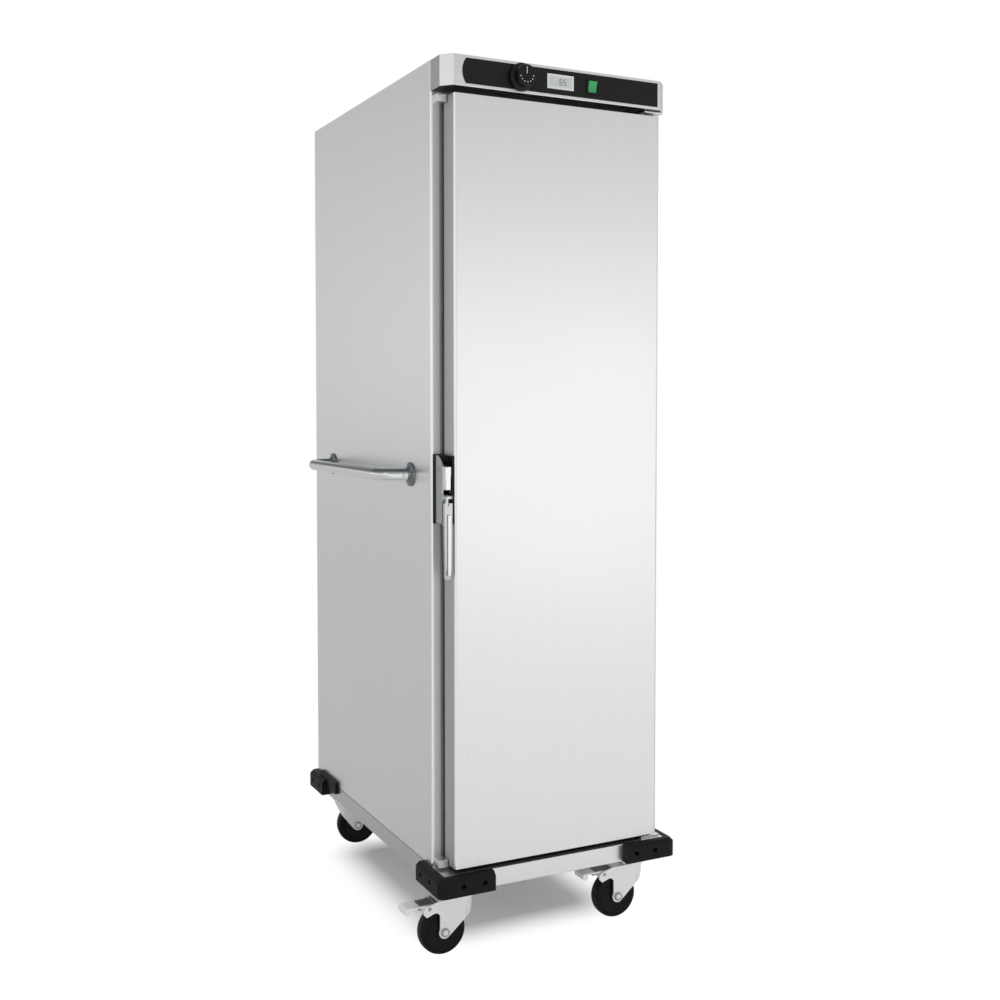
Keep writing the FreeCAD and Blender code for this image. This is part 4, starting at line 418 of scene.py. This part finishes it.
# a dark rubber strip on the deck below the door, which also stands in for the shade in the gap under the door
sillShadeLook = dict(sideGap=4.0, setBack=6.0, deep=34.0, thick=1.6, soft=0.6)
doorLow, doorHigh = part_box("door_outer_skin")
panelLow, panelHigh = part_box("left_side_panel")
deck = panelLow.z
stripLow = Vector((doorLow.x + sillShadeLook["sideGap"] * mm, doorLow.y + sillShadeLook["setBack"] * mm, deck))
stripHigh = Vector((doorHigh.x - sillShadeLook["sideGap"] * mm, stripLow.y + sillShadeLook["deep"] * mm,
                    deck + sillShadeLook["thick"] * mm))
finishPiece(softSlabs([(stripLow, stripHigh)], sillShadeLook["soft"]), "door_sill_strip_and_painted_gap_shade", "cabinet",
            [sealRubber])

# a bead of sealant along the foot of each side panel
beadLook = dict(half=0.7, proud=0.35, soft=0.25, endGap=3.0)
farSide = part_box("right_side_panel")[1].x
beads = []
for x in (panelLow.x, farSide):
    beadLow = Vector((x - beadLook["proud"] * mm, panelLow.y + beadLook["endGap"] * mm,
                      deck - beadLook["half"] * mm))
    beadHigh = Vector((x + beadLook["proud"] * mm, panelHigh.y - beadLook["endGap"] * mm,
                       deck + beadLook["half"] * mm))
    beads.append((beadLow, beadHigh))
finishPiece(softSlabs(beads, beadLook["soft"]), "foot_sealant_beads", "cabinet", [sealRubber])

# a dark backing behind the latch body, which shows on its left and a little above and below, and also stands in for
# the latch's shadow on the post
backingShadowLook = dict(left=3.0, over=2.0, front=4.2, back=0.4, soft=0.5)
bodyLow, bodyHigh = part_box("latch_body")
backLow = Vector((bodyLow.x - backingShadowLook["left"] * mm, bodyHigh.y - backingShadowLook["front"] * mm,
                  bodyLow.z - backingShadowLook["over"] * mm))
backHigh = Vector((bodyHigh.x, bodyHigh.y - backingShadowLook["back"] * mm, bodyHigh.z + backingShadowLook["over"] * mm))
finishPiece(softSlabs([(backLow, backHigh)], backingShadowLook["soft"]), "latch_backing_and_painted_shadow", "door", [sealRubber])
print("sill strip, sealant and latch backing laid")


# the latch lever's grip has a raised rib down its front, its face in the polished plate as a painted highlight and
# painted shade along its two sides
ribLook = dict(wide=8.0, proud=2.6, sunk=1.0, bottom=8.0, top=42.0, soft=1.6, shift=1.0, steep=0.62)
leverLow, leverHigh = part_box("latch_lever")
ribMiddle = (leverLow.x + leverHigh.x) / 2 + ribLook["shift"] * mm
ribLow = Vector((ribMiddle - ribLook["wide"] / 2 * mm, leverLow.y - ribLook["proud"] * mm,
                 leverLow.z + ribLook["bottom"] * mm))
ribHigh = Vector((ribMiddle + ribLook["wide"] / 2 * mm, leverLow.y + ribLook["sunk"] * mm,
                  leverHigh.z - ribLook["top"] * mm))
shape = softSlabs([(ribLow, ribHigh)], ribLook["soft"])
shape.normal_update()
# the rib's steep sides take painted shade
for face in shape.faces:
    face.material_index = int(abs(face.normal.x) > ribLook["steep"])
finishPiece(shape, "latch_lever_rib", bodyOf["latch_lever"], [latchBright, padPlateAndRibShade])
print("latch rib raised")


# wheels: a rubber tread bonded to a dished core, with a domed end on each side of the axle
corners = ("front_left", "front_right", "rear_left", "rear_right")
wheelLook = dict(
    tread=[(50.0, 4.5), (49.5, 8.6), (48.2, 12.0), (46.2, 14.5), (43.6, 15.9), (41.2, 16.0), (40.7, 15.3)],
    core=[(39.5, 15.3), (39.0, 16.0), (36.4, 16.0), (35.0, 15.2), (33.6, 13.0), (32.2, 12.1), (30.6, 12.0),
          (17.2, 12.0), (15.6, 12.5), (14.5, 13.8), (14.0, 16.8), (13.2, 17.8), (12.2, 18.0), (5.05, 18.0)],
    bondRadius=40.0, steps=72)
axleLook = dict(
    outline=[(0.0, 23.4), (4.4, 23.4), (4.9, 25.2), (5.6, 26.4), (7.0, 26.7), (8.2, 26.2), (8.9, 25.0),
             (9.1, 23.6), (9.1, 22.1), (0.0, 22.1)],
    steps=32)
corePlastic = moulded("moulded_black_polypropylene", dict(
    gritMm=1.6, wanderMm=30, dark="#0a0a0b", light="#121214", smooth=0.34, rough=0.46, ior=1.49, specular=0.2,
    bump=0.05))
nearHalf = wheelLook["tread"] + wheelLook["core"]
farHalf = [(radius, -reach) for radius, reach in reversed(nearHalf)]
for corner in corners:
    roll = jointOf["roll_" + corner]
    centre, axis = Vector(roll["pos_m"]), Vector(roll["axis"])
    shape = bmesh.new()
    turnOutline(shape, nearHalf + farHalf, centre, axis, wheelLook["steps"])
    for face in shape.faces:
        out = face.calc_center_median() - centre
        face.material_index = int((out - axis * out.dot(axis)).length < wheelLook["bondRadius"] * mm)
    finishPiece(shape, "caster_wheel_" + corner, "wheel_" + corner, [wheelRubber, corePlastic],
                ["wheel_" + corner])
    shape = bmesh.new()
    for sign in (1, -1):
        turnOutline(shape, axleLook["outline"], centre, axis * sign, axleLook["steps"])
    finishPiece(shape, "axle_ends_" + corner, "swivel_" + corner, [boltSteel])
print("wheels turned")


# brake pedals: a dark ribbed pad on the plated plate, and the domed heads of the pin that it turns on
padLook = dict(back=2.0, length=34.0, thick=1.4, ribs=5, ribHigh=0.9, ribWide=2.4, sideGap=3.0, soft=0.35)
pinLook = dict(outline=[(0.0, 24.0), (1.8, 23.8), (3.0, 23.3), (3.8, 22.6), (4.0, 22.1), (0.0, 22.1)], steps=28)
for corner in corners[:2]:  # only the front casters have brakes
    low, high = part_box("brake_pedal_" + corner)
    start = high.x / mm - padLook["back"] - padLook["length"]
    pitch = padLook["length"] / padLook["ribs"]
    bars = [(start, padLook["length"], 0.0, padLook["thick"])]
    for rib in range(padLook["ribs"]):
        ribStart = start + (rib + 0.5) * pitch - padLook["ribWide"] / 2
        bars.append((ribStart, padLook["ribWide"], padLook["thick"], padLook["ribHigh"]))
    slabs = []
    for along, long, lift, tall in bars:
        slabLow = Vector((along * mm, low.y + padLook["sideGap"] * mm, high.z + lift * mm))
        slabHigh = Vector(((along + long) * mm, high.y - padLook["sideGap"] * mm, high.z + (lift + tall) * mm))
        slabs.append((slabLow, slabHigh))
    finishPiece(softSlabs(slabs, padLook["soft"]), "brake_pad_" + corner, "pedal_" + corner,
                [padPlateAndRibShade])
    brake = jointOf["brake_" + corner]
    centre, axis = Vector(brake["pos_m"]), Vector(brake["axis"])
    shape = bmesh.new()
    for sign in (1, -1):
        turnOutline(shape, pinLook["outline"], centre, axis * sign, pinLook["steps"])
    finishPiece(shape, "brake_pin_heads_" + corner, "swivel_" + corner, [boltSteel])
print("brake pads and pin heads made")


# push handle: a bent tube between two pressed rosettes
tubeLook = dict(radius=12.5, bend=45.0, bendSteps=14, sides=40)
flangeLook = dict(
    outline=[(12.6, 0.0), (25.5, 0.0), (25.5, 2.4), (24.9, 3.5), (23.3, 4.3), (18.0, 5.7), (15.6, 7.4),
             (14.3, 9.2), (13.5, 9.9), (12.6, 10.0)],
    steps=56)
tubeLow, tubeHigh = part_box("push_handle")
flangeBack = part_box("handle_flanges")[1].x
level = (tubeLow.z + tubeHigh.z) / 2
nearEnd = tubeLow.y + tubeLook["radius"] * mm
farEnd = tubeHigh.y - tubeLook["radius"] * mm
bend = tubeLook["bend"] * mm
bendX = tubeLow.x + tubeLook["radius"] * mm + bend
runOut = tubeHigh.x - bendX


def ringOf(grown):
    verts = {item for item in grown if isinstance(item, bmesh.types.BMVert)}
    return [item for item in grown if isinstance(item, bmesh.types.BMEdge) and set(item.verts) <= verts]


def pushTube(shape, ring, step):
    grown = bmesh.ops.extrude_edge_only(shape, edges=ring)["geom"]
    bmesh.ops.translate(shape, verts=[item for item in grown if isinstance(item, bmesh.types.BMVert)], vec=step)
    return ringOf(grown)


def bendTube(shape, ring, centre):
    grown = bmesh.ops.spin(shape, geom=ring, cent=centre, axis=(0, 0, 1), angle=-math.pi / 2,
                           steps=tubeLook["bendSteps"])["geom_last"]
    return ringOf(grown)


shape = bmesh.new()
spot = Matrix.Translation((tubeHigh.x, nearEnd, level)) @ Matrix.Rotation(math.pi / 2, 4, "Y")
bmesh.ops.create_circle(shape, segments=tubeLook["sides"], radius=tubeLook["radius"] * mm, matrix=spot)
ring = pushTube(shape, shape.edges[:], Vector((-runOut, 0, 0)))
ring = bendTube(shape, ring, (bendX, nearEnd + bend, level))
ring = pushTube(shape, ring, Vector((0, farEnd - nearEnd - 2 * bend, 0)))
ring = bendTube(shape, ring, (bendX, farEnd - bend, level))
pushTube(shape, ring, Vector((runOut, 0, 0)))
bmesh.ops.holes_fill(shape, edges=[edge for edge in shape.edges if edge.is_boundary], sides=0)
bmesh.ops.recalc_face_normals(shape, faces=shape.faces)
finishPiece(shape, "push_handle_tube", "cabinet", [chrome], ["push_handle"])
shape = bmesh.new()
for y in (nearEnd, farEnd):
    turnOutline(shape, flangeLook["outline"], Vector((flangeBack, y, level)), (-1, 0, 0), flangeLook["steps"])
finishPiece(shape, "push_handle_rosettes", "cabinet", [rosetteChrome], ["handle_flanges"])
print("push handle bent")


# thermostat knob: a moulded knob with a printed pointer and seven printed dots on its face
knobLook = dict(
    outline=[(0.0, 25.4), (17.6, 25.4), (18.4, 26.0), (19.6, 25.9), (20.4, 25.2), (20.8, 24.0), (21.0, 9.0),
             (21.8, 7.4), (23.6, 6.2), (26.6, 6.0), (27.6, 5.4), (28.0, 4.2), (28.0, 0.6), (27.4, 0.0), (0.0, 0.0)],
    steps=96, sharp=30, dotRadius=1.15, dotTaper=0.86, dotSides=14, dotRing=14.6, dotStart=196, dotEnd=354, dots=7,
    pointerWide=1.3, pointerIn=2.0, pointerOut=15.6, inkThick=0.25)
knobLow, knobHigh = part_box("thermostat_knob")
knobCentre = Vector(((knobLow.x + knobHigh.x) / 2, knobHigh.y, (knobLow.z + knobHigh.z) / 2))
shape = bmesh.new()
turnOutline(shape, knobLook["outline"], knobCentre, (0, -1, 0), knobLook["steps"])
finishPiece(shape, "thermostat_knob_body", "thermostat_knob", [blackPlastic], ["thermostat_knob"],
            sharp=knobLook["sharp"])
faceReach = knobLook["outline"][0][1]
inkMiddle = knobHigh.y - (faceReach + knobLook["inkThick"] / 2) * mm
shape = bmesh.new()
upright = Matrix.Rotation(math.pi / 2, 4, "X")
dotStep = (knobLook["dotEnd"] - knobLook["dotStart"]) / (knobLook["dots"] - 1)
for dot in range(knobLook["dots"]):
    angle = math.radians(knobLook["dotStart"] + dot * dotStep)
    spot = Matrix.Translation((knobCentre.x + knobLook["dotRing"] * mm * math.cos(angle), inkMiddle,
                               knobCentre.z + knobLook["dotRing"] * mm * math.sin(angle)))
    bmesh.ops.create_cone(shape, cap_ends=True, segments=knobLook["dotSides"],
                          radius1=knobLook["dotRadius"] * knobLook["dotTaper"] * mm,
                          radius2=knobLook["dotRadius"] * mm, depth=knobLook["inkThick"] * mm, matrix=spot @ upright)
pointerLong = knobLook["pointerOut"] - knobLook["pointerIn"]
spot = Matrix.Translation((knobCentre.x, inkMiddle, knobCentre.z + (knobLook["pointerIn"] + pointerLong / 2) * mm))
bmesh.ops.create_cube(shape, size=1.0, matrix=spot @ Matrix.Diagonal(
    (knobLook["pointerWide"] * mm, knobLook["inkThick"] * mm, pointerLong * mm, 1.0)))
bmesh.ops.recalc_face_normals(shape, faces=shape.faces)
finishPiece(shape, "thermostat_knob_print", "thermostat_knob", [whiteInk])
print("knob made")


# temperature display: two seven-bar figures standing on the pale pane; neither lights its upper right bar
figureLook = dict(tall=11.0, wide=5.6, bar=1.1, gap=0.35, pitch=8.4, shift=5.0, thick=0.2, figures="65")
barsOn = {"6": "acdefg", "5": "acdfg"}
halfTall, halfWide, barWide = figureLook["tall"] / 2, figureLook["wide"] / 2, figureLook["bar"]
acrossLong = figureLook["wide"] - 2 * figureLook["gap"]
uprightLong = halfTall - 2 * figureLook["gap"]
barPlaces = {"a": (0, halfTall, acrossLong, barWide), "g": (0, 0, acrossLong, barWide),
             "d": (0, -halfTall, acrossLong, barWide), "f": (-halfWide, halfTall / 2, barWide, uprightLong),
             "e": (-halfWide, -halfTall / 2, barWide, uprightLong),
             "c": (halfWide, -halfTall / 2, barWide, uprightLong)}
paneLow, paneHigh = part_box("display_window")
paneMiddle = (paneLow + paneHigh) / 2
middleFigure = (len(figureLook["figures"]) - 1) / 2
shape = bmesh.new()
for number, figure in enumerate(figureLook["figures"]):
    figureX = figureLook["shift"] + (number - middleFigure) * figureLook["pitch"]
    for bar in barsOn[figure]:
        x, z, wide, tall = barPlaces[bar]
        spot = Matrix.Translation((paneMiddle.x + (figureX + x) * mm, paneLow.y - figureLook["thick"] / 2 * mm,
                                   paneMiddle.z + z * mm))
        bmesh.ops.create_cube(shape, size=1.0, matrix=spot @ Matrix.Diagonal(
            (wide * mm, figureLook["thick"] * mm, tall * mm, 1.0)))
finishPiece(shape, "display_figures", "cabinet", [darkCrystal])
print("display figures made")


# studio: a pale floor, lightest in front, a white backdrop behind the cart and a greyer room round it;
# lengths in metres, turns in degrees
studio = dict(floorHalf=30.0, floorFront="#fbfbfa", floorBack="#cacac9", frontLine=1.1, backLine=-0.4,
              paperRoughness=0.9, shadowHalf=(0.13, 0.22, 1.0), shadowFade=0.15, lift=0.12, highRoom="#b5b6b7",
              ceiling="#e2e3e3", frontRoom="#ffffff", sideRoom="#b9babb", leftRoom="#ffffff", backdrop="#ffffff",
              eyeBand=0.0, highBand=0.36, leftLean=(0.25, 0.48), frontLean=(0.2, 0.8), ceilingLean=(0.5, 0.85),
              backdropTurn=26.5, whiteInside=24.0, greyOutside=38.0)
turn = math.radians(studio["backdropTurn"])
towardCamera, toBackdrop = (math.sin(turn), -math.cos(turn), 0.0), (math.sin(turn), math.cos(turn), 0.0)


# 1 for rays that show a surface, straight or by way of metal or glass, and 0 for those that only light it
def showingRays(tree, rays):
    mirrored = addNode(tree, "ShaderNodeMath", {"operation": "MAXIMUM"},
                       links={0: rays.outputs["Is Camera Ray"], 1: rays.outputs["Is Glossy Ray"]})
    return addNode(tree, "ShaderNodeMath", {"operation": "MAXIMUM"},
                   links={0: mirrored.outputs[0], 1: rays.outputs["Is Transmission Ray"]}).outputs[0]


floorMesh = bmesh.new()
bmesh.ops.create_grid(floorMesh, x_segments=1, y_segments=1, size=studio["floorHalf"])
floorData = bpy.data.meshes.new("studio_floor")
floorMesh.to_mesh(floorData)
floorMesh.free()
floorObject = bpy.data.objects.new("studio_floor", floorData)
bpy.context.scene.collection.objects.link(floorObject)

# matt paper; the camera sees it white, but for the shadow in a soft-edged patch under the cart
paper, tree, shader = newMaterial("matt_white_paper_floor")
place = addNode(tree, "ShaderNodeTexCoord")
ahead = addNode(tree, "ShaderNodeVectorMath", {"operation": "DOT_PRODUCT"}, {1: towardCamera},
                {0: place.outputs["Object"]})
forward = addNode(tree, "ShaderNodeMapRange", {"interpolation_type": "SMOOTHSTEP"},
                  {"From Min": studio["backLine"], "From Max": studio["frontLine"]},
                  {"Value": ahead.outputs["Value"]})
paperTone = addNode(tree, "ShaderNodeMix", {"data_type": "RGBA"},
                    {mixFirst: linearColour(studio["floorBack"]), mixSecond: linearColour(studio["floorFront"])},
                    {mixFactor: forward.outputs[0]})
tree.links.new(paperTone.outputs[mixResult], shader.inputs["Base Color"])
shader.inputs["Roughness"].default_value = studio["paperRoughness"]
rays = addNode(tree, "ShaderNodeLightPath")
folded = addNode(tree, "ShaderNodeVectorMath", {"operation": "ABSOLUTE"}, links={0: place.outputs["Object"]})
beyond = addNode(tree, "ShaderNodeVectorMath", {"operation": "SUBTRACT"}, {1: studio["shadowHalf"]},
                 {0: folded.outputs["Vector"]})
outside = addNode(tree, "ShaderNodeVectorMath", {"operation": "MAXIMUM"}, {1: (0.0, 0.0, 0.0)},
                  {0: beyond.outputs["Vector"]})
away = addNode(tree, "ShaderNodeVectorMath", {"operation": "LENGTH"}, links={0: outside.outputs["Vector"]})
clear = addNode(tree, "ShaderNodeMapRange", {"interpolation_type": "SMOOTHSTEP"},
                {"From Min": 0.0, "From Max": studio["shadowFade"]}, {"Value": away.outputs["Value"]})
farLift = addNode(tree, "ShaderNodeMath", {"operation": "MULTIPLY"},
                  links={0: rays.outputs["Is Camera Ray"], 1: clear.outputs[0]})
nearLift = addNode(tree, "ShaderNodeMath", {"operation": "MULTIPLY"}, {1: studio["lift"]},
                   {0: showingRays(tree, rays)})
lift = addNode(tree, "ShaderNodeMath", {"operation": "MAXIMUM"},
               links={0: nearLift.outputs[0], 1: farLift.outputs[0]})
glow = addNode(tree, "ShaderNodeEmission", sockets={"Strength": 1.0})
blend = addNode(tree, "ShaderNodeMixShader", links={0: lift.outputs[0], 1: shader.outputs[0], 2: glow.outputs[0]})
tree.links.new(blend.outputs[0], tree.nodes["Material Output"].inputs["Surface"])
floorData.materials.append(paper)

# the room that metal mirrors; what lights the cart from all round is plain and even
world = bpy.data.worlds.new("studio_room")
bpy.context.scene.world = world
world.use_nodes = True
tree = world.node_tree
tree.nodes.clear()
sight = addNode(tree, "ShaderNodeTexCoord")
rays = addNode(tree, "ShaderNodeLightPath")


# how far a direction leans one way, from 0 to 1
def leaning(direction, limits):
    dot = addNode(tree, "ShaderNodeVectorMath", {"operation": "DOT_PRODUCT"}, {1: direction},
                  {0: sight.outputs["Generated"]})
    return addNode(tree, "ShaderNodeMapRange", {"interpolation_type": "SMOOTHSTEP"},
                   {"From Min": limits[0], "From Max": limits[1]}, {"Value": dot.outputs["Value"]}).outputs[0]


backdropLean = [math.cos(math.radians(studio[key])) for key in ("greyOutside", "whiteInside")]
side = addNode(tree, "ShaderNodeMix", {"data_type": "RGBA"},
               {mixFirst: linearColour(studio["sideRoom"]), mixSecond: linearColour(studio["leftRoom"])},
               {mixFactor: leaning((-1.0, 0.0, 0.0), studio["leftLean"])})
eye = addNode(tree, "ShaderNodeMix", {"data_type": "RGBA"}, {mixSecond: linearColour(studio["frontRoom"])},
              {mixFactor: leaning(towardCamera, studio["frontLean"]), mixFirst: side.outputs[mixResult]})
parts = addNode(tree, "ShaderNodeSeparateXYZ", links={"Vector": sight.outputs["Generated"]})
steep = addNode(tree, "ShaderNodeMath", {"operation": "ABSOLUTE"}, links={0: parts.outputs["Z"]})
height = addNode(tree, "ShaderNodeMapRange", {"interpolation_type": "SMOOTHSTEP"},
                 {"From Min": studio["eyeBand"], "From Max": studio["highBand"]}, {"Value": steep.outputs[0]})
room = addNode(tree, "ShaderNodeMix", {"data_type": "RGBA"}, {mixSecond: linearColour(studio["highRoom"])},
               {mixFactor: height.outputs[0], mixFirst: eye.outputs[mixResult]})
lidded = addNode(tree, "ShaderNodeMix", {"data_type": "RGBA"}, {mixSecond: linearColour(studio["ceiling"])},
                 {mixFactor: leaning((0.0, 0.0, 1.0), studio["ceilingLean"]), mixFirst: room.outputs[mixResult]})
white = addNode(tree, "ShaderNodeMath", {"operation": "MAXIMUM"},
                links={0: leaning(toBackdrop, backdropLean), 1: rays.outputs["Is Camera Ray"]})
tone = addNode(tree, "ShaderNodeMix", {"data_type": "RGBA"}, {mixSecond: linearColour(studio["backdrop"])},
               {mixFactor: white.outputs[0], mixFirst: lidded.outputs[mixResult]})
shown = addNode(tree, "ShaderNodeBackground", sockets={"Strength": 1.0}, links={"Color": tone.outputs[mixResult]})
softLight = addNode(tree, "ShaderNodeBackground", sockets={"Strength": 1.0})
mixed = addNode(tree, "ShaderNodeMixShader",
                links={0: showingRays(tree, rays), 1: softLight.outputs[0], 2: shown.outputs[0]})
addNode(tree, "ShaderNodeOutputWorld", links={"Surface": mixed.outputs[0]})

# large soft lamps, each aimed at a point of the cart
softBoxes = {
    "overhead_soft_box": dict(at=(-0.4, -0.9, 4.2), aim=(0.0, 0.0, 0.9), wide=3.0, tall=3.0, watts=12,
                              mirrored=False),
    "front_soft_box": dict(at=(2.3, -4.4, 0.9), aim=(0.0, -0.4, 1.0), wide=2.4, tall=1.8, watts=5.6,
                           mirrored=True),
    "left_soft_box": dict(at=(-3.9, -1.95, 2.8), aim=(-0.2, -0.4, 1.8), wide=1.4, tall=1.2, watts=2.6,
                          mirrored=True),
}
for name, box in softBoxes.items():
    lamp = bpy.data.lights.new(name, "AREA")
    lamp.shape = "RECTANGLE"
    lamp.size = box["wide"]
    lamp.size_y = box["tall"]
    lamp.energy = box["watts"]
    lampObject = bpy.data.objects.new(name, lamp)
    lampObject.location = box["at"]
    lampObject.rotation_euler = (Vector(box["aim"]) - Vector(box["at"])).to_track_quat("-Z", "Y").to_euler()
    lampObject.visible_glossy = box["mirrored"]
    bpy.context.scene.collection.objects.link(lampObject)

# the camera stands to the front left, as in the photo
view = dict(at=(-1.23025, -2.64335, 1.136), turn=26.5, tilt=-2.3, lens=44.46, sensor=36, shiftUp=-0.05)
cameraData = bpy.data.cameras.new("photo_view")
cameraData.lens = view["lens"]
cameraData.sensor_width = view["sensor"]
cameraData.shift_y = view["shiftUp"]
camera = bpy.data.objects.new("photo_view", cameraData)
camera.location = view["at"]
camera.rotation_euler = Euler((math.radians(90 + view["tilt"]), 0.0, math.radians(-view["turn"])))
bpy.context.scene.collection.objects.link(camera)
bpy.context.scene.camera = camera
bpy.context.scene.view_settings.view_transform = "Standard"
print("studio set")
